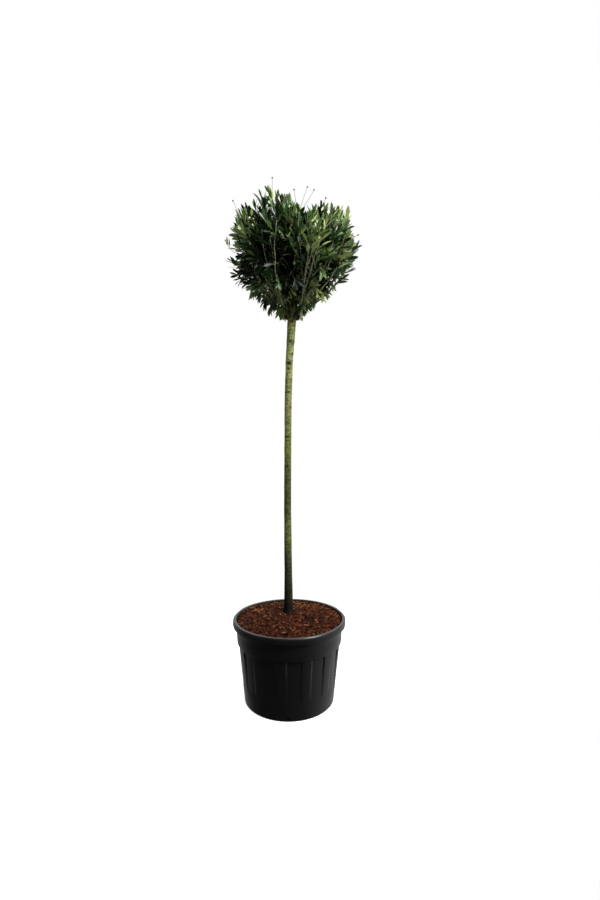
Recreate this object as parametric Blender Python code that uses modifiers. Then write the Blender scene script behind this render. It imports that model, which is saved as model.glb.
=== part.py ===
"""A cherry laurel grown as a standard: one clean stem with a leafy head, in a black nursery pot.

Metres, +Z up. The origin is the middle of the pot's flat underside, and the front faces -Y.
The stem stands on the bark mulch and ends in a fork inside the head. Eleven boughs leave it, in a
lower ring, an upper ring and a leader, and each one carries one mass of foliage. The head is a ball
whose reach changes with direction. Every mass keeps to the part of it that lies nearest to the
middle of that mass, so no two masses touch.
"""

import math
import random
from collections import namedtuple

import bmesh
import bpy
from mathutils import Matrix, Vector

SEED = 47
GAP = 0.0003  # clearance between two pieces that touch on the real plant

# The pot: a turned wall with a heavy lip, a plain collar and a body of raised panels.
POT_HEIGHT = 0.478
LIP_RADIUS = 0.334
LIP_WIDTH = 0.021
LIP_DEPTH = 0.038
LIP_ROUNDING = 0.007
COLLAR_TOP_RADIUS = 0.314
COLLAR_FOOT_RADIUS = 0.3085
COLLAR_FOOT_Z = 0.349
BODY_TOP_RADIUS = 0.2997
BODY_TOP_Z = 0.338
BODY_FOOT_RADIUS = 0.2665
BODY_FOOT_Z = 0.032
BASE_RADIUS = 0.2640
BASE_EDGE_Z = 0.010
UNDERSIDE_RADIUS = 0.256
WALL = 0.011
FLOOR = 0.010
FLOOR_CORNER = 0.004  # how much wider the inside is at the floor than the underside
PANELS = 13
PANEL_AZIMUTH = 290
PANEL_HALF_DEG = 4.8  # half the width of a raised panel, and of it with its sloping sides
PANEL_FOOT_HALF_DEG = 7.0
RECESS_TOP = 0.0060
RECESS_FOOT = 0.0035
DRAINS = 4
DRAIN_RADIUS = 0.007
DRAIN_Z = 0.0145
DRAIN_CUT = 0.06
SAME_PLACE = 0.0005

# The root ball and its bark mulch fill the pot to just under the lip, a little higher in the middle.
MULCH_SEED = 7
MULCH_EDGE_Z = 0.468
MULCH_TOP_Z = 0.486
MULCH_FLAT_RADIUS = 0.095
MULCH_RINGS = 1
MULCH_LUMP = 0.003
MULCH_FALL = 1.5  # 1 falls evenly to the wall, and more falls faster near it

# The stem: height, sideways place and radius, from the flat cut on the mulch to the fork.
STEM_Y = 0.065
STEM_SIDES = 12
STEM_LINE = (
    (MULCH_TOP_Z + GAP, -0.006, 0.0320),
    (0.505, -0.006, 0.0290),
    (0.560, -0.007, 0.0262),
    (0.700, -0.008, 0.0242),
    (0.860, -0.010, 0.0226),
    (1.170, -0.0125, 0.0214),
    (1.470, -0.011, 0.0214),
    (1.780, -0.009, 0.0214),
    (2.020, -0.002, 0.0220),
    (2.205, 0.010, 0.0250),
    (2.290, 0.015, 0.0270),
    (2.360, 0.016, 0.0240),
    (2.385, 0.016, 0.0160),
)

# The head: its middle, and its reach in the plane of the stem that faces the front, by the angle up
# from the right. Its depth is less to the front, and the front shoulder is hollowed.
HEAD = Vector((0.020, STEM_Y, 2.665))
OUTLINE = (
    (-90, 0.435), (-70, 0.385), (-55, 0.380), (-30, 0.362), (-15, 0.388), (0, 0.425), (20, 0.410),
    (45, 0.450), (60, 0.370), (75, 0.345), (90, 0.370), (102, 0.455), (112, 0.475), (125, 0.440),
    (145, 0.450), (165, 0.430), (180, 0.425), (200, 0.435), (222, 0.408), (245, 0.410), (270, 0.435),
)
FRONT_REACH = 0.375
BACK_REACH = 0.400
Lobe = namedtuple("Lobe", "azimuth elevation more spread")
LOBES = (
    Lobe(azimuth=270, elevation=58, more=-0.045, spread=38),
)

# The masses of foliage, by ring: names, first azimuth, then radius and height of foot and middle.
Ring = namedtuple("Ring", "names azimuth foot_radius foot_z middle_radius middle_z leave_z thickness")
RINGS = (
    Ring(
        ("lower_front_left", "lower_front_right", "lower_right", "lower_back", "lower_left"),
        azimuth=234, foot_radius=0.120, foot_z=2.385, middle_radius=0.225, middle_z=2.510,
        leave_z=2.265, thickness=0.0105,
    ),
    Ring(
        ("upper_front", "upper_right", "upper_back_right", "upper_back_left", "upper_left"),
        azimuth=270, foot_radius=0.105, foot_z=2.620, middle_radius=0.200, middle_z=2.790,
        leave_z=2.300, thickness=0.0095,
    ),
    Ring(
        ("top",),
        azimuth=180, foot_radius=0.012, foot_z=2.720, middle_radius=0.045, middle_z=2.915,
        leave_z=2.370, thickness=0.0090,
    ),
)
Mass = namedtuple("Mass", "name foot middle aim leave_z thickness")
FORK_ROUND = 0.065  # how far a bough runs outwards before it turns up
BOUGH_SIDES = 7
BOUGH_STEPS = 5
BOUGH_TIP = 0.0062
CLEAR = 0.0025  # space kept round every limb, and between two masses
LINE_STEP = 0.014
CAP_WELD = 0.00001

# The foliage of a mass: a stem, and shoots whose leaves stand closer to the twig towards its end.
STEM_LEAD = 0.03  # the mass's stem goes on straight for this far from its bough's tip
TWIG_SIDES = 3
SHOOTS = 94
LOWEST_SHOOT_DEG = -78
SHOOT_STEPS = 2
SHOOT_ROOT = 0.0058
SHOOT_TIP = 0.0038
SHOOT_CURVE = 0.22  # how strongly a shoot turns up, as a share of its length
LOW_TIP = 0.12  # a shoot that ends this far below the middle of the head hangs instead
LOW_CURVE = -0.088
LEAF_LENGTH = 0.130
LEAF_WIDTH = 0.041
LEAF_THICKNESS = 0.0030
LEAF_WIDEST = 0.60  # where along its length a leaf is widest
LEAF_KEEL = 0.90  # where its thick point lies under the widest place
LEAF_DROOP = 0.10  # how far its tip bends down, as a share of its length
LEAF_FACES = ((0, 3, 1), (1, 3, 2), (0, 1, 4), (1, 2, 4), (2, 3, 4), (3, 0, 4))
TIP_SHORT = 0.80  # a shoot ends this many leaf lengths short of the head's reach
LEAVES = 8
LEAF_SPACING = 0.0120
FIRST_LEAF = 0.4  # the first leaf's place, in spacings from the tip
TIP_SPREAD_DEG = 16
SIDE_SPREAD_DEG = 58
SPREAD_CURVE = 0.6
SPREAD_VARIES = 0.15
SPIRAL_DEG = 137.5
TRIES = 6  # turns and shorter lengths tried before a leaf is left out
TRY_TURN = 0.5
SHORTER = 0.08
LEAF_PLACES = (0.35, 0.6, 0.8, 1.0)  # where along a leaf its room is measured
LEAF_ROOM = 0.015
TWIG_ROOM = 0.009
ROOT_SHARE = 0.6
LOWEST_ROOT = 0.25

# Spent flower stalks, thin and bare with a knob at the end, stand out of the head's top and sides.
Stalk = namedtuple("Stalk", "angle reach")  # the angle up from the right, as in the outline
STALKS = (
    Stalk(angle=17, reach=0.416),
    Stalk(angle=60, reach=0.402),
    Stalk(angle=72, reach=0.418),
    Stalk(angle=78, reach=0.424),
    Stalk(angle=89, reach=0.400),
    Stalk(angle=105, reach=0.488),
    Stalk(angle=138, reach=0.494),
)
STALK_RADIUS = 0.0016
STALK_FOOT_RADIUS = 0.0026
STALK_KNOB = 0.0055
STALK_START = 0.1  # from the middle of its mass towards the foot
STALK_KNEE_DEPTH = 0.104
STALK_SAG = 0.004
SHARP_DEG = 35


def clear_scene():
    for obj in list(bpy.data.objects):
        bpy.data.objects.remove(obj, do_unlink=True)


def collection(name):
    made = bpy.data.collections.new(name)
    bpy.context.scene.collection.children.link(made)
    return made


def material(name, colour, roughness):
    made = bpy.data.materials.new(name)
    made.use_nodes = True
    shader = made.node_tree.nodes["Principled BSDF"]
    shader.inputs["Base Color"].default_value = (*colour, 1.0)
    shader.inputs["Roughness"].default_value = roughness
    shader.inputs["Metallic"].default_value = 0.0
    return made


def mesh_object(name, mesh, home, finish=None):
    obj = bpy.data.objects.new(name, mesh)
    home.objects.link(obj)
    if finish:
        mesh.materials.append(finish)
    return obj


def around(azimuth, elevation=0.0):
    """The unit vector at this azimuth and elevation, in degrees."""
    a, e = math.radians(azimuth), math.radians(elevation)
    return Vector((math.cos(a) * math.cos(e), math.sin(a) * math.cos(e), math.sin(e)))


def between(table, place):
    """The value at this place in a table of (place, value) pairs, on straight lines between them."""
    for (low, first), (high, second) in zip(table, table[1:]):
        if place <= high:
            return first + (second - first) * max(0.0, place - low) / (high - low)
    return table[-1][1]


def pot_columns():
    """The angle of each of the pot's columns and whether it is in a recess: two of each to a panel."""
    step = 360 / PANELS
    raised = (-PANEL_HALF_DEG, PANEL_HALF_DEG)
    recessed = (PANEL_FOOT_HALF_DEG, step - PANEL_FOOT_HALF_DEG)
    return [
        (math.radians(PANEL_AZIMUTH + i * step + angle), angle in recessed)
        for i in range(PANELS)
        for angle in raised + recessed
    ]


def turned(name, profile, home):
    """A solid turned about Z by a Screw modifier, with its columns moved to the panels' angles."""
    mesh = bpy.data.meshes.new(name)
    mesh.from_pydata([(r, 0, z) for r, z in profile], [(i, i + 1) for i in range(len(profile) - 1)], [])
    blank = mesh_object(name + "_blank", mesh, home)
    angles = [angle for angle, _ in pot_columns()]
    screw = blank.modifiers.new("turn", "SCREW")
    screw.steps = screw.render_steps = len(angles)
    screw.use_merge_vertices = True
    screw.merge_threshold = 0.00001
    solid = evaluated_mesh(blank, name)
    bpy.data.objects.remove(blank, do_unlink=True)
    for vertex in solid.vertices:
        x, y, z = vertex.co
        radius = math.hypot(x, y)
        column = round(math.atan2(y, x) / math.tau * len(angles)) % len(angles)
        vertex.co = (radius * math.cos(angles[column]), radius * math.sin(angles[column]), z)
    smooth(solid)
    return solid


def smooth(mesh):
    """Shades a round piece smooth and leaves its real edges sharp."""
    mesh.shade_smooth()
    mesh.set_sharp_from_angle(angle=math.radians(SHARP_DEG))


def evaluated_mesh(obj, name):
    """A new mesh of the object as its modifiers leave it."""
    bpy.context.view_layer.update()
    mesh = bpy.data.meshes.new_from_object(obj.evaluated_get(bpy.context.evaluated_depsgraph_get()))
    mesh.name = name
    return mesh


def boolean(obj, operation, other, solver="EXACT"):
    """Cuts or joins the object, and keeps the result as its mesh. other is an object or a collection."""
    cut = obj.modifiers.new(operation.lower(), "BOOLEAN")
    cut.operation = operation
    cut.solver = solver
    if isinstance(other, bpy.types.Collection):
        cut.operand_type = "COLLECTION"
        cut.collection = other
    else:
        cut.object = other
    finish = obj.data.materials[0] if obj.data.materials else None
    mesh = evaluated_mesh(obj, obj.data.name)
    obj.modifiers.clear()
    obj.data = mesh
    mesh.materials.clear()
    if finish:
        mesh.materials.append(finish)


# The pot and what fills it.


def inner_radius(z):
    """The inside radius of the pot's wall: two straight tapers that meet under the collar."""
    knee = BODY_TOP_RADIUS - WALL
    foot = UNDERSIDE_RADIUS + FLOOR_CORNER
    brim = LIP_RADIUS - LIP_WIDTH
    return between(((FLOOR, foot), (BODY_TOP_Z, knee), (POT_HEIGHT, brim)), z)


def pot_profile():
    """Radius and height round the wall: up the inside, over the lip and down the outside."""
    brim = POT_HEIGHT - LIP_ROUNDING
    lip_foot = POT_HEIGHT - LIP_DEPTH
    return (
        (0.0, FLOOR),
        (inner_radius(FLOOR), FLOOR),
        (inner_radius(BODY_TOP_Z), BODY_TOP_Z),
        (inner_radius(brim), brim),
        (LIP_RADIUS - LIP_WIDTH + LIP_ROUNDING, POT_HEIGHT),
        (LIP_RADIUS - LIP_ROUNDING, POT_HEIGHT),
        (LIP_RADIUS, brim),
        (LIP_RADIUS, lip_foot),
        (COLLAR_TOP_RADIUS, lip_foot),
        (COLLAR_FOOT_RADIUS, COLLAR_FOOT_Z),
        (BODY_TOP_RADIUS, BODY_TOP_Z),
        (BODY_FOOT_RADIUS, BODY_FOOT_Z),
        (BASE_RADIUS, BASE_EDGE_Z),
        (UNDERSIDE_RADIUS, 0.0),
        (0.0, 0.0),
    )


def press_recesses(mesh):
    """Moves the body's two rings inwards between the panels, more at the collar than at the foot."""
    rings = ((BODY_TOP_RADIUS, BODY_TOP_Z, RECESS_TOP), (BODY_FOOT_RADIUS, BODY_FOOT_Z, RECESS_FOOT))
    columns = pot_columns()
    for vertex in mesh.vertices:
        radius = math.hypot(vertex.co.x, vertex.co.y)
        angle = math.atan2(vertex.co.y, vertex.co.x)
        _, in_recess = min(columns, key=lambda column: abs(math.sin((angle - column[0]) / 2)))
        for ring_radius, ring_z, depth in rings:
            on_ring = abs(radius - ring_radius) < SAME_PLACE and abs(vertex.co.z - ring_z) < SAME_PLACE
            if on_ring and in_recess:
                vertex.co.xy *= (radius - depth) / radius


def make_pot(home, cutters, finish):
    mesh = turned("pot", pot_profile(), home)
    press_recesses(mesh)
    pot = mesh_object("pot", mesh, home, finish)
    for i in range(DRAINS):
        out = around(270 + i * 360 / DRAINS)
        bpy.ops.mesh.primitive_cylinder_add(
            vertices=8,
            radius=DRAIN_RADIUS,
            depth=DRAIN_CUT,
            location=out * BASE_RADIUS + Vector((0, 0, DRAIN_Z)),
            rotation=out.to_track_quat("Z", "Y").to_euler(),
        )
        drain = bpy.context.object
        drain.name = f"drain_cutter_{i + 1}"
        drain.display_type = "WIRE"
        drain.hide_render = True
        for old in drain.users_collection:
            old.objects.unlink(drain)
        cutters.objects.link(drain)
        boolean(pot, "DIFFERENCE", drain)
    return pot


def make_mulch(home, finish, rng):
    """The root ball, with a lumpy top that is level only where the stem stands on it."""
    edge = inner_radius(MULCH_EDGE_Z) - GAP
    rings = []
    for i in range(MULCH_RINGS + 2):
        share = i / (MULCH_RINGS + 1)
        radius = MULCH_FLAT_RADIUS + (edge - MULCH_FLAT_RADIUS) * share
        rings.append((radius, MULCH_TOP_Z - (MULCH_TOP_Z - MULCH_EDGE_Z) * share**MULCH_FALL))
    profile = (
        (0.0, MULCH_TOP_Z),
        *rings,
        (inner_radius(BODY_TOP_Z) - GAP, BODY_TOP_Z),
        (inner_radius(FLOOR) - GAP, FLOOR + GAP),
        (0.0, FLOOR + GAP),
    )
    mesh = turned("mulch", profile, home)
    for vertex in mesh.vertices:
        radius = math.hypot(vertex.co.x, vertex.co.y)
        on_slope = MULCH_FLAT_RADIUS + SAME_PLACE < radius < edge - SAME_PLACE
        if vertex.co.z > MULCH_EDGE_Z and on_slope:
            vertex.co.z += rng.uniform(-MULCH_LUMP, MULCH_LUMP)
    return mesh_object("mulch", mesh, home, finish)


# Limbs: the stem, the boughs and every twig are tapering tubes of a few sides.


def limb(name, points, radii, sides, home):
    """A poly curve swept by a regular outline, thick or thin by its points' radius, with its caps welded."""
    outline = bpy.data.curves.new(name + "_outline", "CURVE")
    ring = outline.splines.new("POLY")
    ring.points.add(sides - 1)
    ring.use_cyclic_u = True
    for i, point in enumerate(ring.points):
        point.co = (*around(i * 360 / sides).xyz, 1)
    section = mesh_object_of_curve(outline, home)
    curve = bpy.data.curves.new(name, "CURVE")
    curve.dimensions = "3D"
    curve.bevel_mode = "OBJECT"
    curve.bevel_object = section
    curve.use_fill_caps = True
    spline = curve.splines.new("POLY")
    spline.points.add(len(points) - 1)
    for point, place, radius in zip(spline.points, points, radii):
        point.co = (*place, 1)
        point.radius = radius
    path = mesh_object_of_curve(curve, home)
    mesh = evaluated_mesh(path, name)
    bpy.data.objects.remove(path, do_unlink=True)
    bpy.data.objects.remove(section, do_unlink=True)
    closed = bmesh.new()
    closed.from_mesh(mesh)
    bmesh.ops.remove_doubles(closed, verts=closed.verts, dist=CAP_WELD)
    bmesh.ops.recalc_face_normals(closed, faces=closed.faces)
    closed.to_mesh(mesh)
    closed.free()
    smooth(mesh)
    return mesh


def mesh_object_of_curve(curve, home):
    obj = bpy.data.objects.new(curve.name, curve)
    home.objects.link(obj)
    return obj


def stem_points(grow=0.0):
    """The stem's points and radii, with the radius and the top made larger by grow."""
    points = [Vector((x, STEM_Y, z)) for z, x, _ in STEM_LINE]
    points[-1].z += grow
    return points, [radius + grow for _, _, radius in STEM_LINE]


def stem_at(z):
    return Vector((between([(h, x) for h, x, _ in STEM_LINE], z), STEM_Y, z))


def bend(start, turn, end, steps):
    """Points on the curve that leaves start towards turn and arrives at end from it."""
    shares = [i / steps for i in range(steps + 1)]
    return [start * (1 - t) ** 2 + turn * 2 * t * (1 - t) + end * t * t for t in shares]


def masses():
    """Every mass of foliage: its foot on its bough's tip, its middle and the way its stem aims."""
    made = []
    for ring in RINGS:
        for i, name in enumerate(ring.names):
            out = around(ring.azimuth + i * 360 / len(ring.names))
            axis = Vector((HEAD.x, HEAD.y, 0))
            foot = axis + out * ring.foot_radius + Vector((0, 0, ring.foot_z))
            middle = axis + out * ring.middle_radius + Vector((0, 0, ring.middle_z))
            aim = (middle - foot).normalized()
            made.append(Mass(name, foot, middle, aim, ring.leave_z, ring.thickness))
    return made


def bough_path(mass):
    """From the middle of the stem outwards, then up to the foot of the mass, on one curve."""
    start = stem_at(mass.leave_z)
    length = (mass.foot - start).length
    turn = mass.foot - mass.aim * (length * 0.5)
    outwards = (mass.foot - start) * Vector((1, 1, 0))
    if outwards.length > FORK_ROUND:
        turn = turn.lerp(start + outwards.normalized() * FORK_ROUND, 0.5)
    return bend(start, turn, mass.foot, BOUGH_STEPS)


def taper(first, last, count):
    return [first + (last - first) * i / (count - 1) for i in range(count)]


def make_stem(home, finish):
    points, radii = stem_points()
    return mesh_object("stem", limb("stem", points, radii, STEM_SIDES, home), home, finish)


def make_boughs(home, cutters, finish):
    """Each bough starts inside the stem, and the stem's shape is cut out of its root with a gap."""
    points, radii = stem_points(grow=GAP)
    cutter = mesh_object("stem_cutter", limb("stem_cutter", points, radii, STEM_SIDES, home), cutters)
    cutter.display_type = "WIRE"
    cutter.hide_render = True
    for mass in masses():
        name = "bough_" + mass.name
        path = bough_path(mass)
        mesh = limb(name, path, taper(mass.thickness, BOUGH_TIP, len(path)), BOUGH_SIDES, home)
        bough = mesh_object(name, mesh, home, finish)
        boolean(bough, "DIFFERENCE", cutter)
        keep_largest_body(bough.data)


# Foliage.


def reach(direction):
    """How far the head reaches from its middle in this direction."""
    angle = (math.degrees(math.atan2(direction.z, direction.x)) + 90) % 360 - 90
    depth = FRONT_REACH if direction.y < 0 else BACK_REACH
    distance = between(OUTLINE, angle) * (1 - direction.y**2) + depth * direction.y**2
    for lobe in LOBES:
        off = math.degrees(direction.angle(around(lobe.azimuth, lobe.elevation)))
        distance += lobe.more * math.exp(-((off / lobe.spread) ** 2))
    return distance


def shoot_directions():
    """Directions spread evenly over a ball by the golden angle, without those down the stem."""
    for i in range(SHOOTS):
        elevation = math.degrees(math.asin(1 - (2 * i + 1) / SHOOTS))
        if elevation > LOWEST_SHOOT_DEG:
            yield around(i * SPIRAL_DEG, elevation)


class Space:
    """The room that one mass keeps to: nearer to its middle than to any other, and off every limb."""

    def __init__(self, mass, everyone):
        self.mass = mass
        self.walls = []
        for other in everyone:
            if other is not mass:
                across = (other.middle - mass.middle).normalized()
                self.walls.append(((mass.middle + other.middle) / 2 - across * CLEAR, across))
        points, radii = stem_points()
        self.limbs = list(zip(points, points[1:], radii))
        for other in everyone:
            path = bough_path(other)
            self.limbs += list(zip(path, path[1:], taper(other.thickness, BOUGH_TIP, len(path))))
        self.twigs = []
        self.leaves = []

    def holds(self, point, margin=0.0):
        inside = all((point - place).dot(across) < -margin for place, across in self.walls)
        return inside and all(
            distance_to_segment(point, first, second) > radius + CLEAR + margin
            for first, second, radius in self.limbs
        )

    def holds_line(self, first, second, margin=0.0):
        """Whether the space holds a straight line, asked at points closer together than a limb is thick."""
        steps = max(2, math.ceil((second - first).length / LINE_STEP))
        return all(self.holds(first.lerp(second, i / steps), margin) for i in range(1, steps + 1))

    def has_room(self, root, tip, own_twig):
        """Whether a leaf from root to tip keeps off the leaves and the other twigs that are there."""
        places = [root.lerp(tip, share) for share in LEAF_PLACES]
        others = [twig for twig in self.twigs if twig is not own_twig]
        near_twig = any(
            distance_to_segment(place, first, second) < TWIG_ROOM
            for twig in others
            for first, second in zip(twig, twig[1:])
            for place in places
        )
        return not near_twig and all(
            distance_to_segment(place, first, second) > LEAF_ROOM
            for first, second in self.leaves
            for place in places
        )


def distance_to_segment(point, first, second):
    along = second - first
    share = max(0.0, min(1.0, (point - first).dot(along) / along.length_squared))
    return (point - first - along * share).length


def leaf_points(length):
    """Five corners of a leaf that grows along +Z and faces +Y: root, left, tip, right and under."""
    half, widest = LEAF_WIDTH / 2 * length / LEAF_LENGTH, LEAF_WIDEST * length
    return [
        Vector((0, 0, 0)),
        Vector((-half, 0, widest)),
        Vector((0, -LEAF_DROOP * length, length)),
        Vector((half, 0, widest)),
        Vector((0, -LEAF_THICKNESS, widest * LEAF_KEEL)),
    ]


def place_leaf(root, along, turn, spread, length):
    """A leaf's corners in place: it leaves the shoot at root, spread away from along and turned round it."""
    side = along.orthogonal().normalized()
    side.rotate(Matrix.Rotation(turn, 3, along))
    way = (along * math.cos(spread) + side * math.sin(spread)).normalized()
    face = (along - way * along.dot(way)).normalized()
    stand = Matrix((way.cross(face) * -1, face, way)).transposed().to_4x4()
    stand.translation = root
    return [stand @ point for point in leaf_points(length)]


def closed_body(points, faces, name, home):
    body = bmesh.new()
    corners = [body.verts.new(point) for point in points]
    for face in faces:
        body.faces.new([corners[i] for i in face])
    bmesh.ops.recalc_face_normals(body, faces=body.faces)
    mesh = bpy.data.meshes.new(name)
    body.to_mesh(mesh)
    body.free()
    return mesh_object(name, mesh, home)


def add_leaf(root, along, turn, spread, twig, space, home):
    """Fuses in one leaf, turned or shortened until it fits the space, or none if it never does."""
    for attempt in range(TRIES):
        length = LEAF_LENGTH * (1 - SHORTER * attempt)
        points = place_leaf(root, along, turn + TRY_TURN * attempt, spread, length)
        first, left, tip, right, _ = points
        edges = ((first, left), (first, tip), (first, right), (left, tip), (right, tip))
        if all(space.holds_line(*edge) for edge in edges) and space.has_room(first, tip, twig):
            closed_body(points, LEAF_FACES, "leaf", home)
            space.leaves.append((first, tip))
            return 1
    return 0


def add_twig(mass, start, tip, space, home):
    """A twig that leaves the mass's stem, higher up for a tip that lies further on, and turns up."""
    share = (tip - start).dot(mass.aim) / (mass.middle - start).length * ROOT_SHARE
    root = start.lerp(mass.middle, min(1.0, max(LOWEST_ROOT, share)))
    lift = (tip - root).length * (SHOOT_CURVE if tip.z > HEAD.z - LOW_TIP else LOW_CURVE)
    path = bend(root, (root + tip) / 2 - Vector((0, 0, lift)), tip, SHOOT_STEPS)
    if all(space.holds_line(first, second, SHOOT_TIP) for first, second in zip(path, path[1:])):
        twig = limb("twig", path, taper(SHOOT_ROOT, SHOOT_TIP, len(path)), TWIG_SIDES, home)
        mesh_object("twig", twig, home)
        space.twigs.append(path)


def add_leaves(twig, space, home, rng):
    """A spiral of leaves along the end of a twig, opening wider away from its tip."""
    along = (twig[-1] - twig[-2]).normalized()
    start = rng.uniform(0, math.tau)
    count = 0
    for i in range(LEAVES):
        share = i / (LEAVES - 1)
        spread = TIP_SPREAD_DEG + (SIDE_SPREAD_DEG - TIP_SPREAD_DEG) * share**SPREAD_CURVE
        spread *= rng.uniform(1 - SPREAD_VARIES, 1 + SPREAD_VARIES)
        place = twig[-1] - along * (LEAF_SPACING * (i + FIRST_LEAF))
        turn = start + math.radians(i * SPIRAL_DEG)
        count += add_leaf(place, along, turn, math.radians(spread), twig, space, home)
    return count


def add_stalk(stalk, space, home):
    """A bare stalk from inside the mass to past the leaves, with a knob at its end."""
    direction = stalk_way(stalk)
    end = HEAD + direction * stalk.reach
    start = space.mass.middle.lerp(space.mass.foot, STALK_START)
    knee = HEAD + direction * (stalk.reach - STALK_KNEE_DEPTH) - Vector((0, 0, STALK_SAG))
    radii = (STALK_FOOT_RADIUS, STALK_RADIUS, STALK_RADIUS)
    mesh_object("stalk", limb("stalk", [start, knee, end], radii, TWIG_SIDES, home), home)
    across, up = direction.orthogonal().normalized(), direction
    over = up.cross(across)
    knob = [end + v * STALK_KNOB for v in (up, across, over, -across, -over, -up)]
    faces = [(0, 1, 2), (0, 2, 3), (0, 3, 4), (0, 4, 1), (5, 2, 1), (5, 3, 2), (5, 4, 3), (5, 1, 4)]
    closed_body(knob, faces, "knob", home)


def stalk_way(stalk):
    return Vector((math.cos(math.radians(stalk.angle)), 0, math.sin(math.radians(stalk.angle))))


def keep_largest_body(mesh):
    """Drops loose scraps, and fills any hollow that fusing sealed, by keeping the outer skin alone."""
    skin = bmesh.new()
    skin.from_mesh(mesh)
    left, bodies = set(skin.faces), []
    while left:
        body, edge = set(), [left.pop()]
        while edge:
            face = edge.pop()
            body.add(face)
            beside = {other for line in face.edges for other in line.link_faces} & left
            left -= beside
            edge += beside
        bodies.append(body)
    largest = max(bodies, key=len)
    bmesh.ops.delete(skin, geom=[face for face in skin.faces if face not in largest], context="FACES")
    skin.to_mesh(mesh)
    skin.free()


def nearest_mass(point, everyone):
    return min(everyone, key=lambda mass: (mass.middle - point).length)


def make_foliage(home, finish, rng):
    """One node for each mass: its stem, fused with its shoots, their leaves and its stalks."""
    everyone = masses()
    tips = {mass.name: [] for mass in everyone}
    for direction in shoot_directions():
        tip = HEAD + direction * (reach(direction) - LEAF_LENGTH * TIP_SHORT)
        tips[nearest_mass(tip, everyone).name].append(tip)
    stalks = {mass.name: [] for mass in everyone}
    for stalk in STALKS:
        owner = nearest_mass(HEAD + stalk_way(stalk) * stalk.reach, everyone)
        stalks[owner.name].append(stalk)
    leaves = 0
    for mass in everyone:
        parts = collection("parts_of_" + mass.name)
        space = Space(mass, everyone)
        bough = bough_path(mass)
        way = (bough[-1] - bough[-2]).normalized()
        start = mass.foot + way * GAP
        path = [start, start + way * STEM_LEAD, mass.middle]
        radii = taper(BOUGH_TIP, SHOOT_ROOT, len(path))
        stem = limb("foliage_" + mass.name, path, radii, BOUGH_SIDES, home)
        whole = mesh_object("foliage_" + mass.name, stem, home, finish)
        for tip in tips[mass.name]:
            add_twig(mass, start, tip, space, parts)
        for twig in space.twigs:
            leaves += add_leaves(twig, space, parts, rng)
        for stalk in stalks[mass.name]:
            add_stalk(stalk, space, parts)
        boolean(whole, "UNION", parts, solver="MANIFOLD")
        keep_largest_body(whole.data)
        for part in list(parts.objects):
            bpy.data.objects.remove(part, do_unlink=True)
        bpy.data.collections.remove(parts)
    return leaves


def main():
    clear_scene()
    home = collection("potted_cherry_laurel")
    cutters = collection("cutters")
    plastic = material("black_pot_plastic", (0.012, 0.012, 0.013), 0.45)
    bark = material("green_brown_bark", (0.16, 0.17, 0.07), 0.85)
    chips = material("bark_mulch", (0.045, 0.014, 0.006), 0.95)
    green = material("laurel_leaf", (0.035, 0.075, 0.015), 0.40)
    make_pot(home, cutters, plastic)
    make_mulch(home, chips, random.Random(MULCH_SEED))
    make_stem(home, bark)
    make_boughs(home, cutters, bark)
    leaves = make_foliage(home, green, random.Random(SEED))
    print("leaves", leaves)


main()
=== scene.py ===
# %% [markdown]
# # A potted cherry laurel
# This lesson dresses the solids of a laurel standard: one clean stem with a leafy head, in a
# black nursery pot filled with bark mulch. The solids are loaded first and never moved. Every
# piece made here is in metres in the same frame: +Z up, the front faces -Y, and the origin is the
# middle of the pot's underside.

# %% Load the solids
import math
import random

import bpy
import numpy as np
from mathutils import Matrix, Vector, noise


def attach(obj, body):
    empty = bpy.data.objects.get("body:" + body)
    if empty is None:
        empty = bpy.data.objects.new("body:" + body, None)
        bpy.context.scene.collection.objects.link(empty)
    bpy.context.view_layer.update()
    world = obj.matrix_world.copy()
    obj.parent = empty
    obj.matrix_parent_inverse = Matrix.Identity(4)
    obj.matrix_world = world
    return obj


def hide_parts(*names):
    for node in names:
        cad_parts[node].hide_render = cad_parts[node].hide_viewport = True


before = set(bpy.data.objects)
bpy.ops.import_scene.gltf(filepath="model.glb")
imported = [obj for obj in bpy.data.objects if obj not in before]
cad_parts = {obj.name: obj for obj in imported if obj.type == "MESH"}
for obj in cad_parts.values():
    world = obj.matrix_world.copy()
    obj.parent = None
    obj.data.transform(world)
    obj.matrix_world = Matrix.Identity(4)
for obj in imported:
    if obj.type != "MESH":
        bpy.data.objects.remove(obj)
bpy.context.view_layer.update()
MASS_NODES = sorted(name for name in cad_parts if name.startswith("foliage_"))
BOUGH_NODES = sorted(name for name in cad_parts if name.startswith("bough_"))
print("masses", len(MASS_NODES), "boughs", len(BOUGH_NODES))

# %% [markdown]
# ## Colours and nodes
# Colours are written as sRGB hex, the way a paint program shows them, and one function turns them
# into the linear numbers that Blender works with. One more function adds a shader node with its
# settings and links, so a material reads as a list of what it is made of. Leaves, chips and peat
# are all one colour broken by another close to it, so one function makes that kind of material.


# %% Helpers for colours and nodes
def linear(colour):
    """An sRGB hex colour, such as "#1b1a1b", as linear RGBA."""
    shares = [int(colour[i : i + 2], 16) / 255 for i in (1, 3, 5)]
    return (*[c / 12.92 if c <= 0.04045 else ((c + 0.055) / 1.055) ** 2.4 for c in shares], 1.0)


def add_node(tree, kind, inputs=None, stops=(), **settings):
    """Adds a node. An input is a value or an output to link, and stops colour a Color Ramp."""
    made = tree.nodes.new(kind)
    for name, value in settings.items():
        setattr(made, name, value)
    for name, value in (inputs or {}).items():
        if isinstance(value, bpy.types.NodeSocket):
            tree.links.new(value, made.inputs[name])
        else:
            made.inputs[name].default_value = value
    if stops:
        elements = made.color_ramp.elements
        elements.remove(elements[1])
        for i, (place, colour) in enumerate(stops):
            stop = elements.new(place) if i else elements[0]
            stop.position, stop.color = place, linear(colour)
    return made


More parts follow.
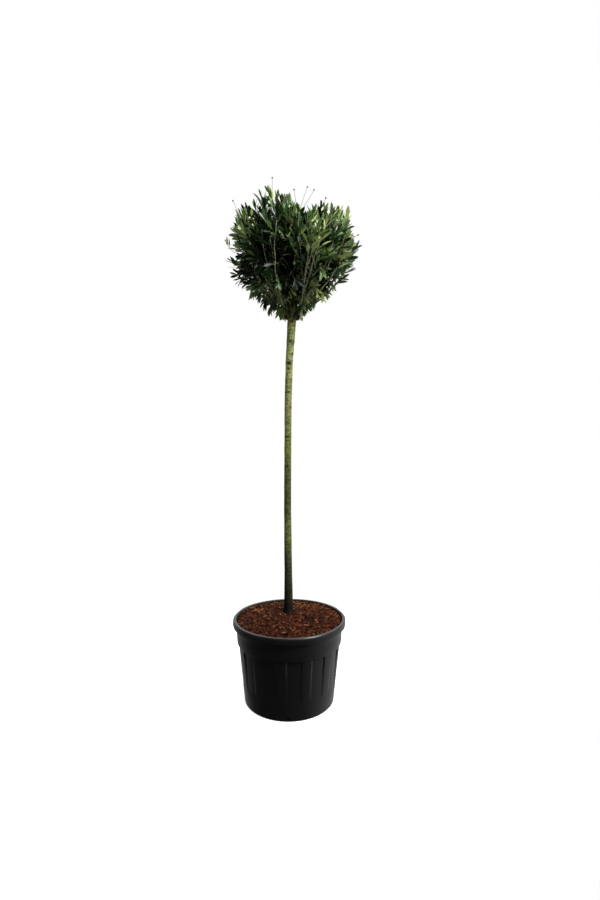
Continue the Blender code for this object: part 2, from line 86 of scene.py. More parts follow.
def new_material(name, **values):
    """A Principled material. Underscores in a value's name stand for spaces."""
    made = bpy.data.materials.new(name)
    made.use_nodes = True
    shader = made.node_tree.nodes["Principled BSDF"]
    for socket, value in values.items():
        shader.inputs[socket.replace("_", " ")].default_value = value
    return made, made.node_tree, shader


def mottled_material(name, grain, detail, tints, **values):
    """A material of two tints in patches of this grain, and the output of its pattern."""
    made, tree, shader = new_material(name, **values)
    place = add_node(tree, "ShaderNodeTexCoord").outputs["Object"]
    pattern = add_node(
        tree, "ShaderNodeTexNoise", {"Vector": place, "Scale": 1 / grain, "Detail": detail}
    ).outputs["Fac"]
    colours = add_node(tree, "ShaderNodeValToRGB", {"Fac": pattern}, stops=tints)
    tree.links.new(colours.outputs["Color"], shader.inputs["Base Color"])
    return made, tree, shader, pattern


# %% [markdown]
# ## The camera
# The photo was taken from a little under 1.5 m above the ground and 2.8 m in front of the pot, so
# the rim is seen from above and the head from below. The camera is level, which keeps the stem
# upright. The lens is worked out from the picture's height, the long side of the frame.

# %% Camera
PICTURE_HEIGHT = 900
FOCAL_PIXELS = 464
SENSOR_MM = 36
CAMERA_PLACE = (0.0633, -2.771, 1.472)
lens = bpy.data.cameras.new("photo_camera")
lens.sensor_width = SENSOR_MM
lens.lens = FOCAL_PIXELS / PICTURE_HEIGHT * SENSOR_MM
camera = bpy.data.objects.new("photo_camera", lens)
camera.location = CAMERA_PLACE
camera.rotation_euler = (math.radians(90), 0, 0)
bpy.context.scene.collection.objects.link(camera)
bpy.context.scene.camera = camera
print("lens", round(lens.lens, 2), "mm")

# %% [markdown]
# ## Light and floor
# The plant stands on white, lit softly from high on the right and in front, with deep shade
# inside the head. A sun with a wide angle lights the pot and the head alike. A softbox above the
# camera lifts the head and the top of the stem, because it is close to them and far from the pot.
# A weak card low on the left gives the hanging leaves the light that a white floor throws back.
# The sky is brighter behind and to the right, as a studio with a white wall and a dark camera
# side is, so black plastic shows a sheen on its edges and stays dark in front. The floor is a
# small round lit table top. It is hidden from reflections and from soft bounces, so that it
# whitens the picture and not the pot.

# %% Sky
SKY_SEEN = 1.0
SKY_DIM = 0.07
SKY_BRIGHT = 0.95
SKY_DIM_UNTIL = -0.5
SKY_BRIGHT_SIDE = Vector((0.50, 0.75, 0.42)).normalized()
scene = bpy.context.scene
scene.view_settings.view_transform = "Standard"
world = bpy.data.worlds.new("studio_sky")
scene.world = world
world.use_nodes = True
sky = world.node_tree
sky.nodes.clear()
way = add_node(sky, "ShaderNodeTexCoord").outputs["Generated"]
facing = add_node(
    sky, "ShaderNodeVectorMath", {0: way, 1: SKY_BRIGHT_SIDE}, operation="DOT_PRODUCT"
).outputs["Value"]
shade = add_node(
    sky,
    "ShaderNodeMapRange",
    {"Value": facing, "From Min": SKY_DIM_UNTIL, "To Min": SKY_DIM, "To Max": SKY_BRIGHT},
)
seen = add_node(sky, "ShaderNodeLightPath").outputs["Is Camera Ray"]
strength = add_node(sky, "ShaderNodeMix", {"Factor": seen, 2: shade.outputs[0], 3: SKY_SEEN})
glow = add_node(
    sky, "ShaderNodeBackground", {"Color": linear("#ffffff"), "Strength": strength.outputs[0]}
)
add_node(sky, "ShaderNodeOutputWorld", {"Surface": glow.outputs[0]})
print("sky", SKY_DIM, "to", SKY_BRIGHT)

# %% Lamps
LAMPS = (
    # name, kind, strength, size in metres or angle in radians, place, aim, whether gloss shows it
    ("key_light", "SUN", 3.2, math.radians(14), (0.66, -0.42, 0.74), (0, 0, 0), True),
    ("softbox", "AREA", 68, 1.3, (0.5, -1.3, 4.5), (0, 0, 2.6), True),
    ("bounce_card", "AREA", 5.0, 0.8, (-0.45, -0.95, 1.35), (0, 0, 2.45), False),
)
for name, kind, power, size, place, aim, in_gloss in LAMPS:
    light = bpy.data.lights.new(name, kind)
    light.energy = power
    lamp = bpy.data.objects.new(name, light)
    lamp.location = place
    lamp.rotation_euler = (Vector(place) - Vector(aim)).to_track_quat("Z", "Y").to_euler()
    if kind == "SUN":
        light.angle = size
    else:
        light.size = size
        lamp.visible_camera = False
        lamp.visible_glossy = in_gloss
    scene.collection.objects.link(lamp)
print("lamps", len(LAMPS))

# %% Floor
FLOOR_RADIUS = 1.6
FLOOR_SIDES = 128
FLOOR_Z = -0.001
FLOOR_GLOW = 0.85
bpy.ops.object.select_all(action="DESELECT")
bpy.ops.mesh.primitive_circle_add(
    vertices=FLOOR_SIDES, radius=FLOOR_RADIUS, fill_type="NGON", location=(0, 0, FLOOR_Z)
)
floor = bpy.context.object
floor.name = "pale_floor"
floor.visible_glossy = False
floor.visible_diffuse = False
paint, _, _ = new_material(
    "lit_white_table_top",
    Base_Color=linear("#e8e8e8"),
    Roughness=0.9,
    Emission_Color=linear("#ffffff"),
    Emission_Strength=FLOOR_GLOW,
)
floor.data.materials.append(paint)
print("floor", FLOOR_RADIUS, "m")

# %% [markdown]
# ## Numbers shared with the solids
# The solids were grown by a rule from named sizes. The same sizes and the same rule are written
# again here, so that the detailed pieces lie on the solids and stay within their reach: the
# stem's line, the head's outline, and the ring of masses that the boughs run to.

# %% Shared sizes
GAP = 0.0003
MULCH_TOP_Z = 0.486
MULCH_EDGE_Z = 0.468
MULCH_FLAT_RADIUS = 0.095
STEM_Y = 0.065
STEM_LINE = (
    # height, how far to the right of the pot's axis, radius
    (MULCH_TOP_Z + GAP, -0.006, 0.0320),
    (0.505, -0.006, 0.0290),
    (0.560, -0.007, 0.0262),
    (0.700, -0.008, 0.0242),
    (0.860, -0.010, 0.0226),
    (1.170, -0.0125, 0.0214),
    (1.470, -0.011, 0.0214),
    (1.780, -0.009, 0.0214),
    (2.020, -0.002, 0.0220),
    (2.205, 0.010, 0.0250),
    (2.290, 0.015, 0.0270),
    (2.360, 0.016, 0.0240),
    (2.385, 0.016, 0.0160),
)
HEAD = Vector((0.020, STEM_Y, 2.665))
OUTLINE = (
    # angle in degrees in the front view, and the head's reach there
    (-90, 0.435), (-70, 0.385), (-55, 0.380), (-30, 0.362), (-15, 0.388), (0, 0.425),
    (20, 0.410), (45, 0.450), (60, 0.370), (75, 0.345), (90, 0.370), (102, 0.455),
    (112, 0.475), (125, 0.440), (145, 0.450), (165, 0.430), (180, 0.425), (200, 0.435),
    (222, 0.408), (245, 0.410), (270, 0.435),
)
FRONT_REACH = 0.375
BACK_REACH = 0.400
SHOULDER_ELEVATION, SHOULDER_DROP, SHOULDER_SPREAD = 58, 0.045, 38
SPIRAL_DEG = 137.5
LOWEST_SHOOT_DEG = -78
FORK_ROUND = 0.065
BOUGH_TIP = 0.0062
RINGS = (
    # masses, first azimuth, foot's radius and height, middle's radius and height, where the bough
    # leaves the stem, and its radius there
    (5, 234, 0.120, 2.385, 0.225, 2.510, 2.265, 0.0105),
    (5, 270, 0.105, 2.620, 0.200, 2.790, 2.300, 0.0095),
    (1, 180, 0.012, 2.720, 0.045, 2.915, 2.370, 0.0090),
)


def around(azimuth, elevation=0.0):
    """The direction at these angles in degrees, counted from the right and from level."""
    a, e = math.radians(azimuth), math.radians(elevation)
    return Vector((math.cos(a) * math.cos(e), math.sin(a) * math.cos(e), math.sin(e)))


def between(table, place):
    """The value at this place in a table of (place, value), on straight lines between its rows."""
    for (low, first), (high, second) in zip(table, table[1:]):
        if place <= high:
            return first + (second - first) * max(0.0, place - low) / (high - low)
    return table[-1][1]


def bend(start, turn, end, steps):
    """Points on a smooth bend from start to end that is drawn towards the turn."""
    shares = [i / steps for i in range(steps + 1)]
    return [start * (1 - t) ** 2 + turn * 2 * t * (1 - t) + end * t * t for t in shares]


def clamp(value):
    """The value held between 0 and 1."""
    return min(1.0, max(0.0, value))


def bell(off, width):
    """One in the middle, falling smoothly to nothing a few widths off."""
    return math.exp(-((off / width) ** 2))


def reach(direction):
    """How far the head reaches from its middle in this direction."""
    angle = (math.degrees(math.atan2(direction.z, direction.x)) + 90) % 360 - 90
    depth = FRONT_REACH if direction.y < 0 else BACK_REACH
    distance = between(OUTLINE, angle) * (1 - direction.y**2) + depth * direction.y**2
    off = math.degrees(direction.angle(around(270, SHOULDER_ELEVATION)))
    return distance - SHOULDER_DROP * bell(off, SHOULDER_SPREAD)


def stem_at(z):
    return Vector((between([(h, x) for h, x, _ in STEM_LINE], z), STEM_Y, z))


def stem_radius(z):
    return between([(h, r) for h, _, r in STEM_LINE], z)


print("head's reach", [round(reach(around(azimuth)), 3) for azimuth in (0, 90, 180, 270)])


# %% [markdown]
# ## Handling a finished piece
# Each piece rides on the one body of the part, and the solid that it stands for is hidden. Small
# things that repeat, such as chips and leaves, are joined from arrays of points and faces, because
# one mesh of many copies renders and exports far faster than thousands of objects.


# %% Finishing helpers
def select_only(piece):
    bpy.ops.object.select_all(action="DESELECT")
    piece.select_set(True)
    bpy.context.view_layer.objects.active = piece


def finish_piece(piece, material, slot, *nodes):
    """Gives a piece its material and its body, and hides the solids that it stands for. The slot
    is not used.
    """
    piece.data.materials.clear()
    piece.data.materials.append(material)
    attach(piece, "root")
    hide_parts(*nodes)
    piece.data.calc_loop_triangles()
    print(piece.name, len(piece.data.loop_triangles), "triangles")


def piece_from_arrays(name, points, faces, smooth=True):
    """A mesh object from an array of points and an array of faces with equal corner counts."""
    mesh = bpy.data.meshes.new(name)
    mesh.from_pydata(points.tolist(), [], faces.tolist())
    mesh.update()
    if smooth:
        mesh.shade_smooth()
    piece = bpy.data.objects.new(name, mesh)
    scene.collection.objects.link(piece)
    return piece


def arrays_of(shape):
    """The points and faces of a small shape that is to be copied, and the shape itself removed."""
    points = np.array([vertex.co for vertex in shape.data.vertices])
    faces = np.array([face.vertices[:] for face in shape.data.polygons])
    bpy.data.objects.remove(shape, do_unlink=True)
    return points, faces


def joined(parts):
    """Many (points, faces) pairs as one pair."""
    counts = np.cumsum([0] + [len(points) for points, _ in parts[:-1]])
    points = np.concatenate([points for points, _ in parts])
    return points, np.concatenate([faces + count for (_, faces), count in zip(parts, counts)])


# %% [markdown]
# ## The pot
# The pot is a black nursery container of blow-moulded polyethylene: a heavy rolled lip, a plain
# collar, and a body of thirteen raised ribs with wide shallow recesses between them. It could be
# lathed from a drawn profile, but growing it ring by ring, as a potter raises a wall, shows each
# step: a circle is filled for the underside, and its edge is extruded and resized to every
# height. The recesses come next. The faces between two ribs that look outwards are selected by
# their angle and inset with a depth, which presses them in and gives them the sloping sides that
# a mould needs. Towards the foot they are eased out again, as a recess runs out on the real pot.

# %% Raise the pot's wall
PANELS = 13
PANEL_COLUMNS = 28
PANEL_AZIMUTH = 290
POT_HEIGHT = 0.478
LIP_RADIUS = 0.334
LIP_WIDTH = 0.021
LIP_DEPTH = 0.038
BODY_TOP = (0.2997, 0.338)
BODY_FOOT = (0.2665, 0.032)
BODY_ROWS = 9
POT_WALL = 0.011
POT_FLOOR = 0.010
UNDERSIDE_RADIUS = 0.256


def pot_stations():
    """Radius and height of each ring from the underside up the outside and down the inside."""
    top, foot = BODY_TOP, BODY_FOOT
    shares = [i / BODY_ROWS for i in range(BODY_ROWS + 1)]
    body = [(foot[0] + (top[0] - foot[0]) * s, foot[1] + (top[1] - foot[1]) * s) for s in shares]
    lip_foot = POT_HEIGHT - LIP_DEPTH
    brim = LIP_RADIUS - LIP_WIDTH
    return [
        (0.2600, 0.001),
        (0.2635, 0.005),
        (0.2645, 0.012),
        *body,
        (0.3060, 0.3425),
        (0.3085, 0.349),
        (0.3115, 0.395),
        (0.3140, lip_foot - 0.003),
        (0.3155, lip_foot - 0.0005),
        (0.3285, lip_foot),
        (0.3325, lip_foot + 0.0030),
        (LIP_RADIUS, lip_foot + 0.008),
        (LIP_RADIUS, POT_HEIGHT - 0.010),
        (0.3325, POT_HEIGHT - 0.0045),
        (0.3295, POT_HEIGHT - 0.0010),
        (0.3265, POT_HEIGHT),
        (brim + 0.006, POT_HEIGHT),
        (brim + 0.0015, POT_HEIGHT - 0.0015),
        (brim, POT_HEIGHT - 0.006),
        (brim - 0.0035, POT_HEIGHT - 0.050),
        (top[0] - POT_WALL, top[1]),
        (UNDERSIDE_RADIUS - 0.002, POT_FLOOR),
    ]


bpy.ops.object.select_all(action="DESELECT")
bpy.ops.mesh.primitive_circle_add(
    vertices=PANELS * PANEL_COLUMNS,
    radius=UNDERSIDE_RADIUS,
    fill_type="NGON",
    rotation=(0, 0, math.radians(PANEL_AZIMUTH)),
)
bpy.ops.object.transform_apply(rotation=True)
pot = bpy.context.object
pot.name = "nursery_pot"
bpy.ops.object.mode_set(mode="EDIT")
bpy.ops.mesh.select_mode(type="EDGE")
radius, height = UNDERSIDE_RADIUS, 0.0
for next_radius, next_height in pot_stations():
    bpy.ops.mesh.extrude_edges_move(TRANSFORM_OT_translate={"value": (0, 0, next_height - height)})
    scale = next_radius / radius
    bpy.ops.transform.resize(value=(scale, scale, 1), center_override=(0, 0, next_height))
    radius, height = next_radius, next_height
bpy.ops.mesh.edge_face_add()
bpy.ops.mesh.select_all(action="SELECT")
bpy.ops.mesh.normals_make_consistent(inside=False)
bpy.ops.mesh.select_all(action="DESELECT")
bpy.ops.mesh.select_mode(type="FACE")
bpy.ops.object.mode_set(mode="OBJECT")
print("pot rings", len(pot_stations()))

# %% Press the recesses between the ribs
RIB_HALF_DEG = 5.2
RECESS_SLOPE = 0.009
RECESS_DEPTH = 0.0065
RECESS_FOOT_Z = 0.095
RECESS_FADE = 0.0045
CREASE_DEG = 28
step = 360 / PANELS
for face in pot.data.polygons:
    x, y, z = face.center
    off = (math.degrees(math.atan2(y, x)) - PANEL_AZIMUTH) % step
    beside = RIB_HALF_DEG < off < step - RIB_HALF_DEG
    outside = face.normal.x * x + face.normal.y * y > 0
    face.select = beside and outside and RECESS_FOOT_Z < z < BODY_TOP[1]
bpy.ops.object.mode_set(mode="EDIT")
bpy.ops.mesh.inset(thickness=RECESS_SLOPE, depth=-RECESS_DEPTH, use_even_offset=True)
bpy.ops.object.mode_set(mode="OBJECT")
for vertex in pot.data.vertices:
    if vertex.select:
        share = (vertex.co.z - RECESS_FOOT_Z) / (BODY_TOP[1] - RECESS_FOOT_Z)
        vertex.co += Vector((*vertex.co.xy, 0)).normalized() * RECESS_FADE * (1 - share)
select_only(pot)
bpy.ops.object.shade_smooth_by_angle(angle=math.radians(CREASE_DEG))
print("pot faces", len(pot.data.polygons))

# %% [markdown]
# ### The drain notches
# A pot drains through small holes where its wall meets its floor. They are cut by short round
# bars with Boolean modifiers, as a drill would, and the cutters are removed when the cut is
# applied.

# %% Cut the drains
DRAINS = 4
DRAIN_RADIUS = 0.007
DRAIN_Z = 0.0145
DRAIN_OUT = 0.264
DRILL_LENGTH = 0.03
DRILL_SIDES = 24
for i in range(DRAINS):
    out = around(270 + i * 360 / DRAINS)
    bpy.ops.object.select_all(action="DESELECT")
    bpy.ops.mesh.primitive_cylinder_add(
        vertices=DRILL_SIDES,
        radius=DRAIN_RADIUS,
        depth=DRILL_LENGTH,
        location=out * DRAIN_OUT + Vector((0, 0, DRAIN_Z)),
        rotation=out.to_track_quat("Z", "Y").to_euler(),
    )
    drill = bpy.context.object
    select_only(pot)
    cut = pot.modifiers.new("drain", "BOOLEAN")
    cut.operation = "DIFFERENCE"
    cut.solver = "MANIFOLD"
    cut.object = drill
    bpy.ops.object.modifier_apply(modifier=cut.name)
    bpy.data.objects.remove(drill, do_unlink=True)
print("drains", DRAINS)

# %% [markdown]
# ### Black polyethylene
# Nursery pots are made of recycled polyethylene with carbon black. It is near black and waxy,
# with a soft wide sheen. Grey dust lies on what faces up, in patches of about 40 mm. The left side
# is painted lighter in olive streaks about 18 mm wide, partly a thin dry film and partly painted
# light for the light that falls there from the left. A fine noise of 3 mm breaks the sheen as the
# skin of a blown wall does. The skin of a real pot is finer, but it would not show at this
# distance.

# %% Pot material
DUST_PATCH = 0.040
DUST_FROM_LEVEL = 0.70
STREAK_WIDTH = 0.018
STREAK_SQUASH = 0.12  # the pattern is squeezed in height, which draws it out down the wall
FILM_AND_LIGHT_ACROSS = (-0.10, -0.30)
SKIN_GRAIN = 0.003
SKIN_RELIEF = 0.0004
plastic, tree, shader = new_material(
    "black_blown_polyethylene", Roughness=0.37, IOR=1.51, Specular_IOR_Level=0.42
)
place = add_node(tree, "ShaderNodeTexCoord").outputs["Object"]
# the left side is painted lighter in olive streaks: partly a thin dry film, partly painted light
# from the left
side = add_node(tree, "ShaderNodeSeparateXYZ", {"Vector": place}).outputs["X"]
film_and_light_from, film_and_light_to = FILM_AND_LIGHT_ACROSS
left_film_and_light = add_node(
    tree, "ShaderNodeMapRange", {"Value": side, "From Min": film_and_light_from, "From Max": film_and_light_to}
)
drawn = add_node(tree, "ShaderNodeMapping", {"Vector": place, "Scale": (1, 1, STREAK_SQUASH)})
streaks = add_node(
    tree,
    "ShaderNodeTexNoise",
    {"Vector": drawn.outputs[0], "Scale": 1 / STREAK_WIDTH, "Detail": 3.0},
)
patches = add_node(
    tree, "ShaderNodeTexNoise", {"Vector": place, "Scale": 1 / DUST_PATCH, "Detail": 4.0}
)
facing = add_node(tree, "ShaderNodeNewGeometry").outputs["Normal"]
up = add_node(tree, "ShaderNodeSeparateXYZ", {"Vector": facing}).outputs["Z"]
level = add_node(
    tree, "ShaderNodeMapRange", {"Value": up, "From Min": DUST_FROM_LEVEL, "From Max": 1.0}
)
colour = linear("#0d0d10")
# the first tint is the left side's film and painted light, the second is grey dust on what faces
# up
for pattern, where, dirt_and_painted_light in ((streaks, left_film_and_light, "#35332a"), (patches, level, "#454240")):
    cover = add_node(
        tree,
        "ShaderNodeMath",
        {0: pattern.outputs["Fac"], 1: where.outputs[0]},
        operation="MULTIPLY",
    )
    colour = add_node(
        tree,
        "ShaderNodeMix",
        {"Factor": cover.outputs[0], 6: colour, 7: linear(dirt_and_painted_light)},
        data_type="RGBA",
    ).outputs[2]
tree.links.new(colour, shader.inputs["Base Color"])
grain = add_node(
    tree, "ShaderNodeTexNoise", {"Vector": place, "Scale": 1 / SKIN_GRAIN, "Detail": 2.0}
)
relief = add_node(
    tree,
    "ShaderNodeBump",
    {"Height": grain.outputs["Fac"], "Strength": 0.15, "Distance": SKIN_RELIEF},
)
tree.links.new(relief.outputs[0], shader.inputs["Normal"])
finish_piece(pot, plastic, "pot_plastic", "pot")

# %% [markdown]
# ## The root ball and its bark mulch
# Under a few centimetres of bark the root ball fills the pot. What shows is a low mound that is a
# little higher round the stem. A disc is inset again and again towards the middle, and each ring
# is then raised to the mound's height, with a gentle noise so that no two places lie level. The
# peat that shows between the chips is damp, so it is dark and matt, in crumbs of about 6 mm.

# %% Mound
MOUND_RADIUS = 0.3095
MOUND_SIDES = 96
MOUND_RINGS = 14
MOUND_FOOT_Z = 0.40
MOUND_RAISE = 0.045
MOUND_SINK = 0.006
MULCH_EDGE_RADIUS = 0.306
FALL_CURVE = 1.5
LUMPS_A_METRE = 18
LUMP_HEIGHT = 0.004
LUMP_SLICE = 3.0  # the height at which the noise is read
CRUMB = 0.006
CRUMB_RELIEF = 0.003


def mound_height(x, y):
    """Height of the mulch at this place: flat round the middle, then falling to the wall."""
    fall = (math.hypot(x, y) - MULCH_FLAT_RADIUS) / (MULCH_EDGE_RADIUS - MULCH_FLAT_RADIUS)
    fall = clamp(fall) ** FALL_CURVE
    lump = noise.noise(Vector((x * LUMPS_A_METRE, y * LUMPS_A_METRE, LUMP_SLICE)))
    return MULCH_TOP_Z - (MULCH_TOP_Z - MULCH_EDGE_Z) * fall + LUMP_HEIGHT * lump


bpy.ops.object.select_all(action="DESELECT")
bpy.ops.mesh.primitive_circle_add(
    vertices=MOUND_SIDES, radius=MOUND_RADIUS, fill_type="NGON", location=(0, 0, MOUND_FOOT_Z)
)
mound = bpy.context.object
mound.name = "root_ball_top"
bpy.ops.object.transform_apply(location=True)
bpy.ops.object.mode_set(mode="EDIT")
bpy.ops.mesh.select_mode(type="FACE")
bpy.ops.mesh.extrude_region_move(TRANSFORM_OT_translate={"value": (0, 0, MOUND_RAISE)})
for _ in range(MOUND_RINGS):
    bpy.ops.mesh.inset(thickness=MOUND_RADIUS / (MOUND_RINGS + 1))
bpy.ops.mesh.select_all(action="SELECT")
bpy.ops.mesh.normals_make_consistent(inside=False)
bpy.ops.object.mode_set(mode="OBJECT")
for vertex in mound.data.vertices:
    if vertex.co.z > MOUND_FOOT_Z + MOUND_RAISE / 2:
        vertex.co.z = mound_height(vertex.co.x, vertex.co.y) - MOUND_SINK
mound.data.shade_smooth()
peat, tree, shader, crumbs = mottled_material(
    "damp_peat_and_fines",
    CRUMB,
    5.0,
    ((0.3, "#100503"), (0.7, "#2e150a")),
    Roughness=0.95,
    Specular_IOR_Level=0.1,
)
bumps = add_node(
    tree, "ShaderNodeBump", {"Height": crumbs, "Strength": 0.8, "Distance": CRUMB_RELIEF}
)
tree.links.new(bumps.outputs[0], shader.inputs["Normal"])
finish_piece(mound, peat, "mulch", "mulch")

# %% [markdown]
# ### Bark chips
# Pine bark mulch is a scatter of flat flakes, 9 to 40 mm long, torn along the grain, in dark, red
# and buff browns. One flake is modelled from a cube that is cut across, thinned, cupped and
# pinched at its ends. Copies lie on the mound at even spacing by the golden angle, each turned,
# tilted and scaled by its own seeded numbers, and dealt to one of three colours. Torn bark has
# no shine. Its fibre is finer than 1 mm and is drawn as patches of 7 mm, or it would not show.

# %% Model one chip
CUT_PLACE, CUT_WAY = (0.18, 0, 0), (1, 0.3, 0)
END_FROM, END_PINCH = 0.4, 0.62
THIN_END, THICK_END = 0.55, 0.8
SKEW, CUP = 0.12, 0.25
bpy.ops.object.select_all(action="DESELECT")
bpy.ops.mesh.primitive_cube_add(size=1)
chip = bpy.context.object
bpy.ops.object.mode_set(mode="EDIT")
bpy.ops.mesh.bisect(plane_co=CUT_PLACE, plane_no=CUT_WAY)
bpy.ops.object.mode_set(mode="OBJECT")
for vertex in chip.data.vertices:
    x, y, z = vertex.co
    pinch = END_PINCH if abs(x) > END_FROM else 1.0
    thin = THIN_END if x < 0 else THICK_END
    vertex.co = (x, y * pinch + SKEW * z, z * thin + CUP * x * x)
select_only(chip)
bpy.ops.object.mode_set(mode="EDIT")
bpy.ops.mesh.select_all(action="SELECT")
bpy.ops.mesh.quads_convert_to_tris()
bpy.ops.mesh.normals_make_consistent(inside=False)
bpy.ops.object.mode_set(mode="OBJECT")
CHIP_POINTS, CHIP_FACES = arrays_of(chip)
print("chip faces", len(CHIP_FACES))

# %% Scatter the chips
CHIPS = 5200
CHIP_SEED = 31
CHIPS_REACH = 0.300
CHIP_LENGTHS = (0.009, 0.027)
LONG_CHIPS, LONGER = 0.14, 1.5
CHIP_WIDTHS = (0.3, 0.6)
CHIP_THICKNESSES = (0.002, 0.0045)
CHIP_SHIFT = 0.004
CHIP_ROLL, CHIP_PITCH = 0.30, 0.22
CHIP_LIE = (-0.005, 0.003)
STEM_CLEAR = 0.033
CHIP_CLEAR = 0.3  # of a chip's length, kept free beside the stem
DARK_WEIGHT, RED_WEIGHT, BUFF_WEIGHT = 5, 4, 0.7
BUFF_FOR_LIGHT_BEHIND = 9  # more buff chips behind the stem, painted light where the mulch is lit more brightly
CHIP_TINTS = {
    "dark": ("#160602", "#321409"),
    "red": ("#351507", "#572912"),
    "buff": ("#573519", "#7d5730"),
}
BARK_FIBRE = 0.007
chip_rng = random.Random(CHIP_SEED)
piles = {tint: [] for tint in CHIP_TINTS}
for i in range(CHIPS):
    out = CHIPS_REACH * math.sqrt((i + 0.5) / CHIPS)
    turn = i * math.radians(SPIRAL_DEG)
    length = chip_rng.uniform(*CHIP_LENGTHS) * (LONGER if chip_rng.random() < LONG_CHIPS else 1.0)
    out = min(out, MOUND_RADIUS - length * 0.5)
    x = out * math.cos(turn) + chip_rng.uniform(-CHIP_SHIFT, CHIP_SHIFT)
    y = out * math.sin(turn) + chip_rng.uniform(-CHIP_SHIFT, CHIP_SHIFT)
    if math.hypot(x - stem_at(MULCH_TOP_Z).x, y - STEM_Y) - STEM_CLEAR < length * CHIP_CLEAR:
        continue
    width = length * chip_rng.uniform(*CHIP_WIDTHS)
    size = Matrix.Diagonal((length, width, chip_rng.uniform(*CHIP_THICKNESSES)))
    roll = Matrix.Rotation(chip_rng.gauss(0, CHIP_ROLL), 3, "X")
    pitch = Matrix.Rotation(chip_rng.gauss(0, CHIP_PITCH), 3, "Y")
    stand = Matrix.Rotation(chip_rng.uniform(0, math.tau), 3, "Z") @ (roll @ pitch) @ size
    place = np.array((x, y, mound_height(x, y) + chip_rng.uniform(*CHIP_LIE)))
    # painted light: more buff chips are dealt behind the stem, where more light falls
    weights = (DARK_WEIGHT, RED_WEIGHT, BUFF_WEIGHT + BUFF_FOR_LIGHT_BEHIND * max(0.0, y))
    pile = chip_rng.choices(list(piles), weights=weights)[0]
    piles[pile].append((CHIP_POINTS @ np.array(stand).T + place, CHIP_FACES))
for pile, parts in piles.items():
    low, high = CHIP_TINTS[pile]
    bark_chip, _, _, _ = mottled_material(
        "pine_bark_chip_" + pile,
        BARK_FIBRE,
        3.0,
        ((0.35, low), (0.65, high)),
        Roughness=0.9,
        Specular_IOR_Level=0.12,
    )
    piece = piece_from_arrays("bark_chips_" + pile, *joined(parts), smooth=False)
    finish_piece(piece, bark_chip, "mulch", "mulch")

# %% [markdown]
# ## The stem
# A laurel's stem has thin smooth bark, green with algae in the light and grey-brown near the
# mulch. Short dark scars mark where side shoots were cut away as the stem was trained. A circle
# is extruded ring by ring along the stem's line, which gives an even net to push the relief out
# of: long shallow ribs, small pores, and a raised collar with a sunken heart at each scar.

# %% Raise the stem
STEM_SIDES = 56
STEM_STEP = 0.0065
STEM_FOOT_Z = 0.470
SCARS = (
    # height, angle round the stem from the right, size along the stem, how much wider, how dark
    (2.253, 276, 0.015, 1.2, 0.9), (2.199, 257, 0.009, 1.0, 0.8), (2.199, 302, 0.008, 1.0, 0.7),
    (2.134, 272, 0.009, 2.2, 1.0), (2.130, 325, 0.011, 1.0, 0.8), (2.054, 312, 0.013, 0.8, 0.8),
    (1.998, 270, 0.021, 1.1, 1.0), (1.967, 259, 0.014, 0.9, 0.9), (1.825, 272, 0.006, 4.0, 1.0),
    (1.734, 325, 0.010, 1.0, 0.7), (1.637, 280, 0.010, 1.5, 0.7), (1.552, 262, 0.007, 3.0, 0.8),
    (1.372, 262, 0.016, 1.0, 0.9), (1.352, 290, 0.010, 1.2, 0.7), (1.110, 250, 0.009, 1.2, 0.5),
    (0.900, 285, 0.010, 1.2, 0.5), (2.150, 80, 0.015, 1.2, 0.8), (1.900, 110, 0.008, 3.0, 0.8),
    (1.560, 60, 0.013, 1.0, 0.7), (1.250, 95, 0.010, 1.5, 0.6), (2.080, 30, 0.012, 1.0, 0.8),
    (1.720, 150, 0.010, 1.2, 0.6), (1.480, 175, 0.012, 1.0, 0.7), (2.230, 160, 0.014, 1.2, 0.8),
)
bpy.ops.object.select_all(action="DESELECT")
bpy.ops.mesh.primitive_circle_add(
    vertices=STEM_SIDES,
    radius=stem_radius(STEM_FOOT_Z),
    fill_type="NGON",
    location=stem_at(STEM_FOOT_Z),
)
stem = bpy.context.object
stem.name = "stem_bark"
bpy.ops.object.transform_apply(location=True)
bpy.ops.object.mode_set(mode="EDIT")
z, top = STEM_FOOT_Z, STEM_LINE[-1][0]
while z < top - 1e-6:
    next_z = min(top, z + STEM_STEP)
    move = stem_at(next_z) - stem_at(z)
    bpy.ops.mesh.extrude_region_move(TRANSFORM_OT_translate={"value": (move.x, 0, next_z - z)})
    scale = stem_radius(next_z) / stem_radius(z)
    bpy.ops.transform.resize(value=(scale, scale, 1), center_override=stem_at(next_z))
    z = next_z
bpy.ops.mesh.select_all(action="SELECT")
bpy.ops.mesh.normals_make_consistent(inside=False)
bpy.ops.object.mode_set(mode="OBJECT")
print("stem points", len(stem.data.vertices))

